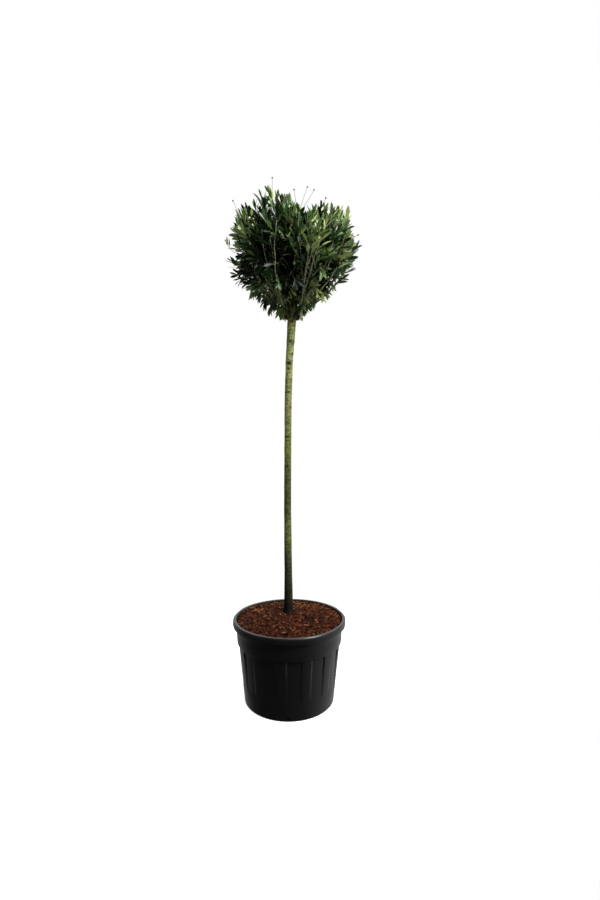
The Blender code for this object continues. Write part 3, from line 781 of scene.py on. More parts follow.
# %% Push out the bark's relief
RIB, RIB_HEIGHT = 0.020, 0.0011
RIB_STRETCH = 5
PORE, PORE_HEIGHT = 0.004, 0.00025
COLLAR_HEIGHT, COLLAR_WIDTH = 0.0022, 1.3
HEART_DEPTH, HEART_WIDTH = 0.0030, 0.5
RING_HEIGHT, RING_WIDTH = 0.0006, 0.5
STAIN_WIDTH = 0.75
SCAR_END = 2.5  # in scar sizes, past which a scar moves nothing
MIDDLE = 0.004  # points nearer to the stem's line than this close its ends and stay
dark = stem.data.attributes.new("scar", "FLOAT", "POINT")
for vertex in stem.data.vertices:
    co = vertex.co.copy()
    axis = stem_at(min(max(co.z, STEM_LINE[0][0]), top))
    out = Vector((co.x - axis.x, co.y - axis.y, 0))
    if out.length < MIDDLE:
        continue
    round_deg = math.degrees(math.atan2(out.y, out.x)) % 360
    ribs = noise.noise(Vector((co.x / RIB, co.y / RIB, co.z / (RIB * RIB_STRETCH))))
    pores = noise.noise(co / PORE)
    swell, depth = 0.0, 0.0
    for height, angle, size, wider, strength in SCARS:
        along = (co.z - height) / size
        if abs(along) < SCAR_END:
            turn = math.radians((round_deg - angle + 180) % 360 - 180)
            off = math.hypot(along, turn * out.length / (size * wider))
            collar = COLLAR_HEIGHT * strength * bell(off, COLLAR_WIDTH)
            swell += collar - HEART_DEPTH * strength * bell(off, HEART_WIDTH)
            swell += RING_HEIGHT * strength * bell(along, RING_WIDTH)
            depth = max(depth, strength * math.exp(-((off / STAIN_WIDTH) ** 4)))
    vertex.co += out.normalized() * (ribs * RIB_HEIGHT + pores * PORE_HEIGHT + swell)
    dark.data[vertex.index].value = depth
stem.data.shade_smooth()
print("scars", len(SCARS))

# %% [markdown]
# ### Green bark
# The colour changes up the stem: near black at the foot, grey-green at knee height, and
# yellow-green with algae from the middle up, then darker again where it runs into the head, which
# is painted shade. A ramp on height holds those bands, and patches of about 50 mm shift them
# darker and lighter. Dark marks about 13 mm wide, flattened as a laurel's pores are, break the
# green. They are coarser than life, or they would not show. The scars are painted by an attribute
# that was written with the relief, so colour and shape agree.

# %% Bark material
BARK_PATCH = 0.050
PATCH_SHIFT = 0.08
MARK_WIDTH = 0.013
MARK_FLATTEN = 1.6
MARK_LOW, MARK_HIGH, MARK_SHADE = 0.38, 0.62, 0.28
MARK_RELIEF = 0.0012
RAMP_END = 0.999
# darker towards the foot, and painted shade where the stem runs into the head
BARK_AND_SHADE_BANDS = (
    # height and colour
    (0.486, "#0d0803"), (0.531, "#150f04"), (0.610, "#2b2a14"), (0.700, "#3c3c20"),
    (0.800, "#43442a"), (0.860, "#575b30"), (0.950, "#73793e"), (1.044, "#68703c"),
    (1.120, "#565c31"), (1.200, "#50562b"), (1.289, "#5a6033"), (1.380, "#6b6f3c"),
    (1.472, "#727d37"), (1.630, "#818a48"), (1.720, "#8f8f55"), (1.800, "#8d9057"),
    (1.890, "#8c8f56"), (1.970, "#aeb16c"), (2.060, "#9fa663"), (2.140, "#8f965a"),
    (2.230, "#a4ab5a"), (2.290, "#878a50"), (2.385, "#5f643c"),
)


def bark_material(name, bands, scars=None):
    """Smooth bark: bands of colour and painted light and shade up the tree, patches, marks, and
    scars.
    """
    made, tree, shader = new_material(name, Roughness=0.75, Specular_IOR_Level=0.22)
    low, high = bands[0][0], bands[-1][0]
    place = add_node(tree, "ShaderNodeTexCoord").outputs["Object"]
    height = add_node(tree, "ShaderNodeSeparateXYZ", {"Vector": place}).outputs["Z"]
    patches = add_node(
        tree, "ShaderNodeTexNoise", {"Vector": place, "Scale": 1 / BARK_PATCH, "Detail": 4.0}
    )
    limits = {"From Min": low, "From Max": high}
    limits |= {"To Min": -PATCH_SHIFT / 2, "To Max": 1 - PATCH_SHIFT / 2}
    share = add_node(tree, "ShaderNodeMapRange", {"Value": height, **limits})
    shifted = add_node(
        tree,
        "ShaderNodeMath",
        {0: patches.outputs["Fac"], 1: PATCH_SHIFT, 2: share.outputs[0]},
        operation="MULTIPLY_ADD",
    )
    ramp = add_node(
        tree,
        "ShaderNodeValToRGB",
        {"Fac": shifted.outputs[0]},
        stops=[((z - low) / (high - low) * RAMP_END, colour) for z, colour in bands],
    )
    flat = add_node(tree, "ShaderNodeMapping", {"Vector": place, "Scale": (1, 1, MARK_FLATTEN)})
    marks = add_node(
        tree,
        "ShaderNodeTexNoise",
        {"Vector": flat.outputs[0], "Scale": 1 / MARK_WIDTH, "Detail": 6.0},
    ).outputs["Fac"]
    fine = add_node(
        tree,
        "ShaderNodeMapRange",
        {"Value": marks, "From Min": MARK_LOW, "From Max": MARK_HIGH, "To Min": MARK_SHADE},
    )
    colour = add_node(
        tree,
        "ShaderNodeMix",
        {"Factor": 1.0, 6: ramp.outputs["Color"], 7: fine.outputs[0]},
        data_type="RGBA",
        blend_type="MULTIPLY",
    ).outputs[2]
    if scars:
        scar = add_node(tree, "ShaderNodeAttribute", attribute_name=scars)
        colour = add_node(
            tree,
            "ShaderNodeMix",
            {"Factor": scar.outputs["Fac"], 6: colour, 7: linear("#17160a")},
            data_type="RGBA",
        ).outputs[2]
    tree.links.new(colour, shader.inputs["Base Color"])
    relief = add_node(
        tree, "ShaderNodeBump", {"Height": marks, "Strength": 0.5, "Distance": MARK_RELIEF}
    )
    tree.links.new(relief.outputs[0], shader.inputs["Normal"])
    return made


finish_piece(stem, bark_material("algae_green_laurel_bark", BARK_AND_SHADE_BANDS, "scar"), "bark", "stem")

# %% [markdown]
# ## The boughs
# Eleven boughs leave the stem at the fork and fan out inside the head. Each could be a curve with
# a bevel, but a swept tube from arrays lets the radius swell where a bough grows out of the stem,
# and serves the hundreds of twigs as well. The tube's rings are carried along the path without
# twisting. The boughs have the stem's bark, painted a deeper green as shade inside the head.


# %% Tubes
def tube(points, radii, sides):
    """A tube along the points, as (points, faces), with its ends closed by a point each."""
    points = [Vector(p) for p in points]
    ways = [(b - a).normalized() for a, b in zip(points, points[1:])]
    ways = [ways[0], *[(a + b).normalized() for a, b in zip(ways, ways[1:])], ways[-1]]
    side = ways[0].orthogonal().normalized()
    rings, faces = [points[0]], []
    for point, way, radius in zip(points, ways, radii):
        side = (side - way * side.dot(way)).normalized()
        over = way.cross(side)
        for j in range(sides):
            a = math.tau * j / sides
            rings.append(point + (side * math.cos(a) + over * math.sin(a)) * radius)
    rings.append(points[-1])
    for j in range(sides):
        k = (j + 1) % sides
        faces.append((0, 1 + k, 1 + j))
        last = 1 + (len(points) - 1) * sides
        faces.append((len(rings) - 1, last + j, last + k))
        for i in range(len(points) - 1):
            a, b = 1 + i * sides, 1 + (i + 1) * sides
            faces += [(a + j, a + k, b + k), (a + j, b + k, b + j)]
    return np.array([tuple(p) for p in rings]), np.array(faces)


def masses():
    """Each mass's foot, middle and aim, and where its bough leaves the stem and how thick."""
    for count, azimuth, foot_radius, foot_z, middle_radius, middle_z, leave_z, thickness in RINGS:
        for i in range(count):
            out = around(azimuth + i * 360 / count)
            axis = Vector((HEAD.x, HEAD.y, 0))
            foot = axis + out * foot_radius + Vector((0, 0, foot_z))
            middle = axis + out * middle_radius + Vector((0, 0, middle_z))
            yield foot, middle, (middle - foot).normalized(), leave_z, thickness


def bough_path(foot, aim, leave_z, steps):
    """A bough's line from the stem, round out of the fork, to the foot of its mass."""
    start = stem_at(leave_z)
    turn = foot - aim * ((foot - start).length * 0.5)
    outwards = (foot - start) * Vector((1, 1, 0))
    if outwards.length > FORK_ROUND:
        turn = turn.lerp(start + outwards.normalized() * FORK_ROUND, 0.5)
    return bend(start, turn, foot, steps)


SWAY_SEED = 3
SWAYS_A_METRE = 14
MASSES = list(masses())
noise.seed_set(SWAY_SEED)


def wander(points, amount, number):
    """The same path with a slow seeded sway, none at its ends."""
    last = len(points) - 1
    swayed = []
    for i, point in enumerate(points):
        sway = noise.noise_vector(point * SWAYS_A_METRE + Vector((number, 0, 0))) * amount
        swayed.append(point + sway * math.sin(math.pi * i / last))
    return swayed


print("masses", len(MASSES))

# %% Boughs
BOUGH_STEPS = 26
INNER_STEPS = 8
BOUGH_SIDES = 18
BOUGH_SWAY = 0.004
BOUGH_END = 0.0032
ROOT_SWELL, ROOT_PLACE, ROOT_LENGTH = 0.35, 0.02, 0.035
KNOT, KNOT_SHARE = 0.012, 0.10
# painted shade: the boughs are painted darkest in the head's shade at the fork, lighter towards
# the top
BOUGH_BARK_AND_SHADE_BANDS = (
    (2.20, "#636a40"), (2.30, "#2f3620"), (2.42, "#2a311c"), (2.70, "#464c2e"), (3.10, "#6b7646"),
)
bough_parts = []
for number, (foot, middle, aim, leave_z, thickness) in enumerate(MASSES):
    path = wander(bough_path(foot, aim, leave_z, BOUGH_STEPS), BOUGH_SWAY, number)
    radii = []
    for i, point in enumerate(path[:-1]):
        radius = thickness + (BOUGH_TIP - thickness) * (i / BOUGH_STEPS)
        swell = 1 + ROOT_SWELL * bell((point - path[0]).length - ROOT_PLACE, ROOT_LENGTH)
        radii.append(radius * swell * (1 + KNOT_SHARE * noise.noise(point / KNOT)))
    path += [foot.lerp(middle, i / INNER_STEPS) for i in range(1, INNER_STEPS + 1)]
    for i in range(INNER_STEPS + 1):
        radii.append(BOUGH_TIP + (BOUGH_END - BOUGH_TIP) * i / INNER_STEPS)
    bough_parts.append(tube(path, radii, BOUGH_SIDES))
boughs = piece_from_arrays("boughs", *joined(bough_parts))
finish_piece(boughs, bark_material("young_laurel_bark", BOUGH_BARK_AND_SHADE_BANDS), "bark", *BOUGH_NODES)

# %% [markdown]
# ## Shoots
# The shoots grow by the rule of the solids: directions spread evenly over a ball by the golden
# angle, each shoot ending where the head's outline lies in that direction, and leaving the stem
# of the mass that is nearest. Here the rule is carried on. Long leaders run up through the outer
# part of the head, bare below, as they do on a plant that is clipped each summer. Strong shoots
# fill the outline, and fine ones leave both of them and fill four shells inside it. High up they
# all turn to the light, and low down they hang. A dark oval hollow in the front, taller than
# wide, is left open to the boughs, and the pale leaders stand round it.

# %% Directions and ends
SEED = 48
LEAF_LONGEST = 0.092
HOLLOW_AIM = around(261, -25)
HOLLOW_WIDE, HOLLOW_TALL = 0.17, 0.30
HOLLOW_DEPTH = 0.19
CLUMP = 0.26
CLUMP_DEPTH = 0.22
CLUMP_SLICE = Vector((7.3, 1.9, 4.1))
NOTCH_START, NOTCH_SLOPE = 0.42, 1.1
UNEVEN = 0.07
UPRIGHT_FROM_DEG, UPRIGHT_OVER_DEG = -32, 60
LOW_DROOP = -0.30
OUTWARD_LOSS = 0.5
GROWTH_JITTER = 0.19
TIP_BACK = 0.75  # the leaves reach past a shoot's end by this share of their length
rng = random.Random(SEED)


def directions(count, lowest=LOWEST_SHOOT_DEG):
    """Directions spread evenly over a ball by the golden angle, without those straight down."""
    for i in range(count):
        elevation = math.degrees(math.asin(1 - (2 * i + 1) / count))
        if elevation > lowest:
            yield around(i * SPIRAL_DEG, elevation)


def ragged(direction):
    """How much of the reach a shoot grows to: sprays stand out in clumps, with notches between."""
    clump = noise.noise(direction / CLUMP + CLUMP_SLICE)
    notch = clamp(NOTCH_START - NOTCH_SLOPE * clump)
    return 1 - CLUMP_DEPTH * notch - UNEVEN * rng.random() ** 2


def growth(direction, upright=0.75):
    """The way a shoot points at its end: outwards low down, more and more upright above."""
    above = math.degrees(math.asin(direction.z)) - UPRIGHT_FROM_DEG
    rise = clamp(above / UPRIGHT_OVER_DEG)
    jitter = Vector([rng.gauss(0, GROWTH_JITTER) for _ in range(3)])
    low = Vector((0, 0, LOW_DROOP)) * (1 - rise)
    outwards = direction * (1 - OUTWARD_LOSS * rise)
    return (outwards + Vector((0, 0, upright * rise)) + low + jitter).normalized()


def in_hollow(point):
    """Whether a place lies in the open hollow at the front of the head."""
    way = point - HEAD
    off = way.normalized() - HOLLOW_AIM
    inside = math.hypot(off.x / HOLLOW_WIDE, off.z / HOLLOW_TALL) < 1
    return way.length > HOLLOW_DEPTH and way.y < 0 and inside


def off_stem(point, clear=0.008):
    """Whether a place is clear of the stem."""
    z = min(max(point.z, STEM_LINE[0][0]), STEM_LINE[-1][0])
    beside = (point.xy - stem_at(z).xy).length > stem_radius(z) + clear
    return beside or point.z > STEM_LINE[-1][0] + clear


def nearest_on(point, paths, first_share=0.33):
    """The nearest place on these paths past a share of each: how far, where, and its way."""
    best = None
    for path in paths:
        for i in range(max(1, int(len(path) * first_share)), len(path)):
            distance = (path[i] - point).length
            if best is None or distance < best[0]:
                best = (distance, path[i], (path[i] - path[i - 1]).normalized())
    return best


def clear_of_stem(path):
    return all(off_stem(point) for point in path)


print("hollow", HOLLOW_WIDE, "by", HOLLOW_TALL)


# %% Grow the leaders
LEADERS = 44
LEADER_FIRST_DEG = 20
LEADER_RANGE = (2, 70)
GOLDEN_SHARE = 0.618
LEADER_UPRIGHT = 1.1
LEADER_REACH = (0.90, 1.0)
KNEE_DEG, KNEE_TURN, KNEE_REACH = -34, 14, (0.74, 0.98)
LEADER_STEPS = 16
LEADER_BARE = 4  # the first points, which may run through the hollow
LEADER_SWAY = 0.008
ROOT_STEPS, ROOT_RANGE = 12, (7, 11)
LOWER_MASSES = MASSES[: RINGS[0][0]]
leaders = []
for i in range(LEADERS):
    azimuth = LEADER_FIRST_DEG + i * SPIRAL_DEG
    elevation = LEADER_RANGE[0] + (LEADER_RANGE[1] - LEADER_RANGE[0]) * ((i * GOLDEN_SHARE) % 1)
    direction = around(azimuth, elevation)
    grows = growth(direction, LEADER_UPRIGHT)
    tip = HEAD + direction * reach(direction) * rng.uniform(*LEADER_REACH)
    tip -= grows * LEAF_LONGEST * TIP_BACK
    low = around(azimuth + rng.uniform(-KNEE_TURN, KNEE_TURN), KNEE_DEG)
    knee = HEAD + low * reach(low) * rng.uniform(*KNEE_REACH)
    foot, _, aim, leave_z, _ = min(LOWER_MASSES, key=lambda mass: (mass[0] - knee).length)
    root = bough_path(foot, aim, leave_z, ROOT_STEPS)[rng.randint(*ROOT_RANGE)]
    path = bend(root, knee, tip, LEADER_STEPS)
    if not any(in_hollow(point) for point in path[LEADER_BARE:]) and clear_of_stem(path):
        leaders.append(wander(path, LEADER_SWAY, i))
print("leaders", len(leaders))

# %% Grow the strong shoots
STRONG_SHOOTS = 150
STRONG_ROOTS = (0.1, 1.0, 0.6)
STRONG_KNEE = 0.45
STRONG_STEPS = 8
STRONG_SWAY = 0.006
strong = []
for direction in directions(STRONG_SHOOTS):
    grows = growth(direction)
    tip = HEAD + direction * (reach(direction) * ragged(direction))
    tip -= grows * LEAF_LONGEST * TIP_BACK
    if in_hollow(tip):
        continue
    foot, middle, aim, _, _ = min(MASSES, key=lambda mass: (mass[1] - tip).length)
    lowest, highest, lag = STRONG_ROOTS
    share = (tip - foot).dot(aim) / (middle - foot).length * lag
    root = foot.lerp(middle, min(highest, max(lowest, share)))
    path = bend(root, tip - grows * (tip - root).length * STRONG_KNEE, tip, STRONG_STEPS)
    if clear_of_stem(path):
        strong.append(wander(path, STRONG_SWAY, len(strong)))
print("strong shoots", len(strong))

# %% Grow the fine shoots
FINE_SHOOTS = 1150
SHELLS = ((0.34, 0.99), (0.64, 0.82), (0.86, 0.64), (1.0, 0.44))
OUTER_SHELL = 0.9
THIN_FRONT, THIN_SPREAD = 0.55, 50
FINE_BACK = 0.05
FINE_LENGTHS = (0.015, 0.20)
FINE_KNEE, ROOT_KNEE, ROOT_PULL = 0.5, 0.4, 0.3
FINE_STEPS = 6
FINE_SWAY = 0.004
fine = []
for direction in directions(FINE_SHOOTS):
    pick = rng.random()
    depth = next(share for limit, share in SHELLS if pick <= limit)
    grows = growth(direction)
    tip = HEAD + direction * reach(direction) * ragged(direction) * depth
    tip -= grows * LEAF_LONGEST * TIP_BACK
    thin = THIN_FRONT * bell(math.degrees(direction.angle(HOLLOW_AIM)), THIN_SPREAD)
    if in_hollow(tip) or (depth > OUTER_SHELL and rng.random() < thin):
        continue
    _, root, way = nearest_on(tip - grows * FINE_BACK, strong + leaders)
    span = (tip - root).length
    if FINE_LENGTHS[0] < span < FINE_LENGTHS[1]:
        knee = (tip - grows * span * FINE_KNEE).lerp(root + way * span * ROOT_KNEE, ROOT_PULL)
        path = bend(root, knee, tip, FINE_STEPS)
        if clear_of_stem(path):
            fine.append(wander(path, FINE_SWAY, len(fine)))
print("fine shoots", len(fine))

# %% [markdown]
# ### Sprays that stand out
# Some sprays stand clear of the head's edge in the photo, each read as an angle round the head's
# middle. They reach the full outline, and one more in front of or behind each stands out when
# seen from beside.

# %% Grow the sprays that stand out
STAND_OUT = (
    -57, -44, -22, -3, 8, 23, 41, 52, 61, 82, 97, 104, 123, 133, 146, 154, 164, 180, 195, 210, 228,
    240, 250, 261, 276, 292,
)
STAND_ASIDE = 38
STAND_BACK = 0.78
STAND_ROOT = 0.06
for number, angle in enumerate(STAND_OUT):
    for turn in (0, STAND_ASIDE if number % 2 else -STAND_ASIDE):
        aside = Vector((0, math.tan(math.radians(turn)), 0))
        direction = (around(0, angle) + aside).normalized()
        grows = growth(direction)
        tip = HEAD + direction * reach(direction) - grows * LEAF_LONGEST * STAND_BACK
        root = nearest_on(tip - grows * STAND_ROOT, strong + leaders + fine)[1]
        path = bend(root, tip - grows * (tip - root).length * FINE_KNEE, tip, FINE_STEPS)
        if clear_of_stem(path):
            fine.append(path)
print("with those that stand out", len(fine))

# %% [markdown]
# ### Shoots round the fork
# Short shoots with hanging leaves grow from the lower ends of the boughs and hide the fork. Their
# ends are set one by one round the stem's top, and each starts on the bough that is nearest and
# bends down.

# %% Grow the skirt round the fork
SKIRT_SHOOTS = 64
SKIRT_HEIGHTS = (2.335, 2.500)
SKIRT_REACH = (0.050, 0.190)
SKIRT_SPREADS = (0.4, 1.1)
SKIRT_DROOP = Vector((0, 0, -1.05))
SKIRT_RISE = 0.05  # the skirt is cut higher in front, where the top of the stem shows
SKIRT_JITTER = 0.012
SKIRT_BEND = 0.025
SKIRT_STEPS = 5
LINE_STEPS = 14
bough_lines = [bough_path(foot, aim, leave_z, LINE_STEPS) for foot, _, aim, leave_z, _ in MASSES]
skirt = []
for i in range(SKIRT_SHOOTS):
    out = around(i * SPIRAL_DEG)
    rise = (i + 0.5) / SKIRT_SHOOTS
    z = SKIRT_HEIGHTS[0] + (SKIRT_HEIGHTS[1] - SKIRT_HEIGHTS[0]) * rise
    tip = stem_at(z) + out * (SKIRT_REACH[0] + (SKIRT_REACH[1] - SKIRT_REACH[0]) * rise)
    tip += Vector([rng.uniform(-SKIRT_JITTER, SKIRT_JITTER) for _ in range(3)])
    tip.z += SKIRT_RISE * max(0.0, -out.y) ** 4
    distance, root, _ = nearest_on(tip, bough_lines, 0.0)
    hang = (out * rng.uniform(*SKIRT_SPREADS) + SKIRT_DROOP).normalized()
    path = bend(root, tip - hang * max(SKIRT_BEND, distance * 0.5), tip, SKIRT_STEPS)
    if clear_of_stem(path[2:]):
        skirt.append(path)
print("skirt shoots", len(skirt))

# %% [markdown]
# ### Twigs
# Every shoot becomes a thin tube that tapers to its tip. A young shoot has a smooth skin and no
# bark yet. It is a pale grey-green, painted lighter up the head, where it stands in the sun.

# %% Twig meshes
TWIG_SIZES = (
    # shoots, radius at the root and at the tip, sides
    (leaders, 0.0048, 0.0019, 8),
    (strong, 0.0032, 0.0016, 7),
    (fine + skirt, 0.0019, 0.0012, 5),
)
# painted light: the skin is painted lighter up the head, where the sun falls
TWIG_SKIN_AND_LIGHT_BANDS = ((2.20, "#6f7450"), (2.45, "#8f9470"), (2.60, "#b0b48c"), (3.10, "#b4ba82"))
twig_parts = []
for paths, first, last, sides in TWIG_SIZES:
    for path in paths:
        steps = len(path) - 1
        radii = [first + (last - first) * i / steps for i in range(steps + 1)]
        twig_parts.append(tube(path, radii, sides))
twigs = piece_from_arrays("twigs", *joined(twig_parts))
finish_piece(twigs, bark_material("green_shoot_skin", TWIG_SKIN_AND_LIGHT_BANDS), "bark", *MASS_NODES)

# %% [markdown]
# ## Leaves
# A cherry laurel leaf is leathery and glossy, 4 to 11 cm long and about a quarter as wide, widest
# past the middle, with a short stalk, a folded midrib and a tip that bends down. One leaf is
# modelled from a grid: each row is selected and resized to the outline, the midrib is pressed
# down, and the rows are lowered along an arch. It has only a few faces because the head holds
# thousands.

# %% Model one leaf
LEAF_ROWS = (
    # place along the leaf, half width as a share of its length, height of the arch
    (0.00, 0.008, 0.000), (0.09, 0.011, 0.005), (0.24, 0.072, 0.018), (0.42, 0.122, 0.028),
    (0.61, 0.146, 0.027), (0.78, 0.124, 0.012), (0.92, 0.064, -0.012), (1.00, 0.005, -0.034),
)
MIDRIB_DEPTH = 0.17
ASIDE = 2.0  # the rows that are done are moved this far on, so none is selected twice


def model_leaf(arch, fold):
    """One leaf along +Y with its upper side up, as arrays of points and triangles."""
    rows = len(LEAF_ROWS)
    bpy.ops.object.select_all(action="DESELECT")
    bpy.ops.mesh.primitive_grid_add(x_subdivisions=2, y_subdivisions=rows - 1, size=1)
    leaf = bpy.context.object
    bpy.ops.object.mode_set(mode="EDIT")
    bpy.ops.mesh.select_mode(type="VERT")
    for row, (along, half, height) in enumerate(LEAF_ROWS):
        grid_y = row / (rows - 1) - 0.5
        for middle in (False, True):
            bpy.ops.mesh.select_all(action="DESELECT")
            bpy.ops.object.mode_set(mode="OBJECT")
            for vertex in leaf.data.vertices:
                x, y, _ = vertex.co
                in_row = abs(y - (ASIDE + along if middle else grid_y)) < 1e-4
                vertex.select = in_row and (abs(x) < 1e-6 or not middle)
            bpy.ops.object.mode_set(mode="EDIT")
            if middle:
                bpy.ops.transform.translate(value=(0, 0, -half * MIDRIB_DEPTH * fold))
            else:
                bpy.ops.transform.resize(value=(half * 2, 1, 1), center_override=(0, grid_y, 0))
                bpy.ops.transform.translate(value=(0, ASIDE + along - grid_y, height * arch))
    bpy.ops.mesh.select_all(action="SELECT")
    bpy.ops.transform.translate(value=(0, -ASIDE, 0))
    bpy.ops.mesh.quads_convert_to_tris()
    bpy.ops.object.mode_set(mode="OBJECT")
    return arrays_of(leaf)


LEAF_KINDS = [model_leaf(arch, fold) for arch, fold in ((0.5, 1.2), (1.7, 1.0), (1.0, 2.4))]
print("leaf faces", [len(faces) for _, faces in LEAF_KINDS])

# %% [markdown]
# ### Setting the leaves
# Leaves stand in a spiral along the last part of each shoot, close together at the tip, and open
# away from it. The upper side faces the shoot's tip and leans to the sky. The colour is dealt out
# by shoot, so each spray holds together as it does on the plant. The shades are painted light and
# shade: shoots deep inside the head and by the hollow are painted the deepest green, and those at
# the top, on the bright side, at the fringe and on the left flank are painted lighter.

# %% Set one leaf
# the shades run from painted shade to painted light, deep the darkest and young the lightest
SHADES = ("deep", "dark", "mid", "well_lit", "young")
WIDEST_REACH = 1.02
HANG_BELOW = 0.18  # leaves hang more and more from here below the head's middle
LEAF_LIFT, LEAF_HANG = 0.08, 0.85
HANG_LONGER = 0.20
FACE_SKY = 0.45
FACE_TURN = 0.42
LEAF_NARROWEST = 0.74
leaf_parts = {shade: [] for shade in SHADES}


def set_leaf(root, along, turn, spread, length, shade):
    """Adds one leaf if it stays within the head's reach, off the stem and out of the hollow."""
    side = along.orthogonal().normalized()
    side.rotate(Matrix.Rotation(turn, 3, along))
    below = clamp((HEAD.z - HANG_BELOW - root.z) / HANG_BELOW)
    lift = Vector((0, 0, LEAF_LIFT - LEAF_HANG * below))
    length *= 1 + HANG_LONGER * below
    way = (along * math.cos(spread) + side * math.sin(spread) + lift).normalized()
    tip = root + way * length
    out = tip - HEAD
    too_far = out.length > reach(out.normalized()) * WIDEST_REACH
    if too_far or in_hollow(tip) or not clear_of_stem((tip, root.lerp(tip, 0.5))):
        return 0
    face = along + Vector((0, 0, FACE_SKY))
    face = (face - way * face.dot(way)).normalized()
    face.rotate(Matrix.Rotation(rng.gauss(0, FACE_TURN), 3, way))
    across = way.cross(face) * rng.uniform(LEAF_NARROWEST, 1.0)
    stand = np.array(Matrix((across, way, face)).transposed()) * length
    points, faces = LEAF_KINDS[rng.randrange(len(LEAF_KINDS))]
    leaf_parts[shade].append((points @ stand.T + np.array(root), faces))
    return 1


print("shades", len(SHADES))

# %% Choose a spray's shade
LIT_SIDE = Vector((0.60, 0.30, 0.72)).normalized()
MIDDLE_SHADE = 1.6
# painted light and shade: lighter on the lit side, at the fringe below and on the left flank,
# darker by the hollow
SHADE_PULLS = {"light": 1.8, "fringe": 1.6, "flank": 1.5, "hollow": -1.3}
# sprays deep inside the head are painted darker, as shade
INSIDE_PULL = 9.0
SHADE_SPREAD = 1.6
FRINGE_FROM = 0.5
FLANK_FROM, FLANK_OVER = 0.20, 0.14
HOLLOW_SPREAD_DEG = 32


def shade_of(tip, lighter):
    """A spray's shade: painted lighter on the bright side and low down, painted darker inside."""
    out = tip - HEAD
    way = out.normalized()
    inside = 1 - min(1.0, out.length / (reach(way) - LEAF_LONGEST))
    signs = {
        "light": way.dot(LIT_SIDE),
        "fringe": max(0.0, -FRINGE_FROM - way.z) / (1 - FRINGE_FROM),
        "flank": clamp((-out.x - FLANK_FROM) / FLANK_OVER),
        "hollow": bell(math.degrees(out.angle(HOLLOW_AIM)), HOLLOW_SPREAD_DEG),
    }
    score = MIDDLE_SHADE + sum(pull * signs[sign] for sign, pull in SHADE_PULLS.items())
    score += rng.gauss(0, SHADE_SPREAD) - INSIDE_PULL * inside + lighter
    return SHADES[min(len(SHADES) - 1, max(0, round(score)))]


print("pulls", SHADE_PULLS)

# %% Deal out the leaves
SPREADS = ((0, 13), (3, 30), (8, 50), (30, 60))
SPREAD_VARIES = (0.75, 1.25)
SIZES = ((0, 0.60), (2, 0.88), (5, 1.0), (30, 0.85))
SIZE_VARIES = (0.82, 1.1)
FIRST_LEAF_BACK = 0.002
SPACING_GROWS = 1.15
LEAFY_SHARE = 0.92
SPRAYS = (
    # shoots, how many leaves, their spacing, length as a share of the longest, how much lighter
    (leaders, (13,), 0.0095, 1.0, 0.0),
    (strong, (9,), 0.0090, 1.0, 0.0),
    (fine, (4, 5, 6, 7), 0.0080, 0.88, 0.0),
    # the skirt's sprays are painted lighter, for the light that a white floor throws up
    (skirt, (4,), 0.0120, 1.05, 1.2),
)


def set_spray(path, count, spacing, longest, lighter):
    """Sets a spiral of leaves from the end of a shoot backwards."""
    shade = shade_of(path[-1], lighter)
    start = rng.uniform(0, math.tau)
    back_to = [0.0]
    for a, b in zip(path[::-1], path[::-1][1:]):
        back_to.append(back_to[-1] + (b - a).length)
    made = 0
    for i in range(count):
        back = spacing * i**SPACING_GROWS + FIRST_LEAF_BACK
        if back > back_to[-1] * LEAFY_SHARE:
            break
        k = max(j for j in range(len(back_to)) if back_to[j] <= back)
        a, b = path[-1 - k], path[-2 - k]
        root = a.lerp(b, (back - back_to[k]) / (a - b).length)
        spread = math.radians(between(SPREADS, i) * rng.uniform(*SPREAD_VARIES))
        length = longest * between(SIZES, i) * rng.uniform(*SIZE_VARIES)
        turn = start + math.radians(i * SPIRAL_DEG)
        made += set_leaf(root, (a - b).normalized(), turn, spread, length, shade)
    return made


leaf_count = 0
for paths, counts, spacing, share, lighter in SPRAYS:
    for path in paths:
        count = rng.choice(counts) if len(counts) > 1 else counts[0]
        leaf_count += set_spray(path, count, spacing, LEAF_LONGEST * share, lighter)
print("leaves", leaf_count)
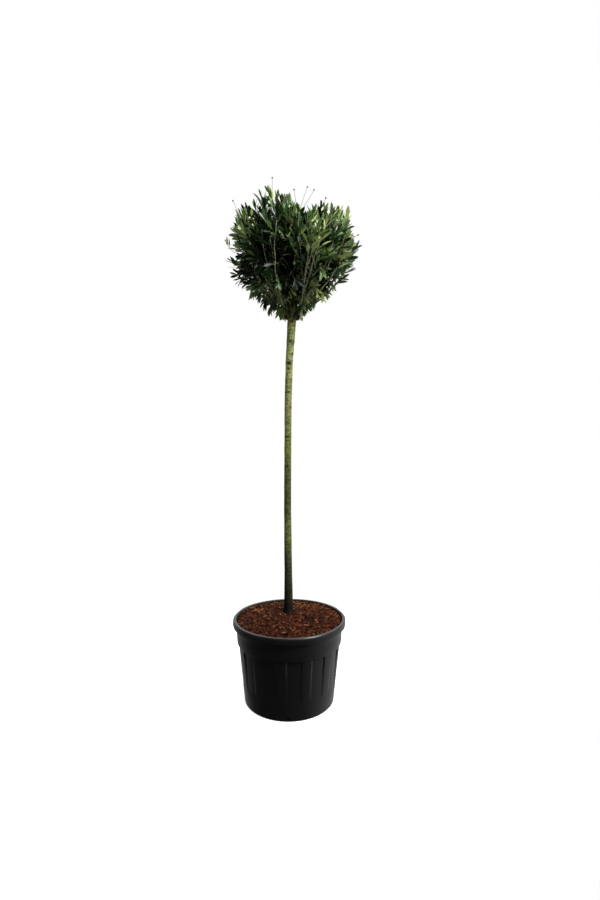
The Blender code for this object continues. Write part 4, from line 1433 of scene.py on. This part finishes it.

# %% [markdown]
# ### Glossy leather
# The upper side of the leaf has a wax coat over leathery green. A low roughness with a thin clear
# coat gives the broken white glints that show all over the head. The deep shades, painted for the
# shade inside the head, also have a weaker coat and shine, as dusty and dull leaves do. Each shade
# is one plain colour with a faint mottling of 12 mm.

# %% Leaf materials
LEAF_MOTTLE = 0.012
LEAF_FINISHES = {
    # the two tints, the shine of the skin, the weight of the wax
    # from deep to young the tints run from painted shade to painted light
    "deep": ("#0b1a05", "#14280a", 0.26, 0.10),
    "dark": ("#213a16", "#2d4a20", 0.42, 0.28),
    "mid": ("#4f6e3a", "#608147", 0.50, 0.40),
    "well_lit": ("#759052", "#89a362", 0.50, 0.40),
    "young": ("#93a55e", "#a5b56e", 0.50, 0.40),
}
for shade, parts in leaf_parts.items():
    low, high, shine, wax = LEAF_FINISHES[shade]
    green, _, _, _ = mottled_material(
        "waxy_laurel_leaf_" + shade,
        LEAF_MOTTLE,
        2.0,
        ((0.35, low), (0.65, high)),
        Roughness=0.40,
        IOR=1.47,
        Specular_IOR_Level=shine,
        Coat_Weight=wax,
        Coat_Roughness=0.27,
    )
    leaves = piece_from_arrays("leaves_" + shade, *joined(parts))
    finish_piece(leaves, green, "leaves", *MASS_NODES)

# %% [markdown]
# ## Spent flower stalks
# A few bare stalks stand out of the top and sides, each with a small dry knob where the flower
# spike was. They are thin tubes with a lumpy ball at the end, made from an icosphere once and
# copied.

# %% Stalks
STALKS = (
    # angle round the head's middle in degrees, and how far out the knob stands
    (17, 0.416), (60, 0.402), (72, 0.418), (78, 0.424), (89, 0.400), (105, 0.488), (138, 0.494),
)
STALK_RADIUS, STALK_TAPER = 0.0011, 0.5
STALK_SIDES = 6
STALK_STEPS = 10
STALK_LENGTH = 0.13
STALK_SAG = 0.01
STALK_SWAY = 0.006
KNOB_RADIUS = 0.0050
KNOB_LUMPS, KNOB_LUMP = 2.3, 0.35
bpy.ops.object.select_all(action="DESELECT")
bpy.ops.mesh.primitive_ico_sphere_add(subdivisions=2, radius=1)
knob = bpy.context.object
for vertex in knob.data.vertices:
    vertex.co *= 1 + KNOB_LUMP * noise.noise(vertex.co * KNOB_LUMPS)
knob_points, knob_faces = arrays_of(knob)
stalk_parts = []
for angle, length in STALKS:
    direction = around(0, angle)
    end = HEAD + direction * length
    start = nearest_on(HEAD + direction * (length - STALK_LENGTH), strong + leaders)[1]
    middle = start.lerp(end, 0.5) - Vector((0, 0, STALK_SAG))
    path = wander(bend(start, middle, end, STALK_STEPS), STALK_SWAY, angle)
    shares = [1 + STALK_TAPER - STALK_TAPER * i / STALK_STEPS for i in range(len(path))]
    stalk_parts.append(tube(path, [STALK_RADIUS * share for share in shares], STALK_SIDES))
    stalk_parts.append((knob_points * KNOB_RADIUS + np.array(end), knob_faces))
stalks = piece_from_arrays("flower_stalks", *joined(stalk_parts))
dry, _, _ = new_material("dry_stalk_skin", Base_Color=linear("#4a4032"), Roughness=0.8)
finish_piece(stalks, dry, "bark", *MASS_NODES)
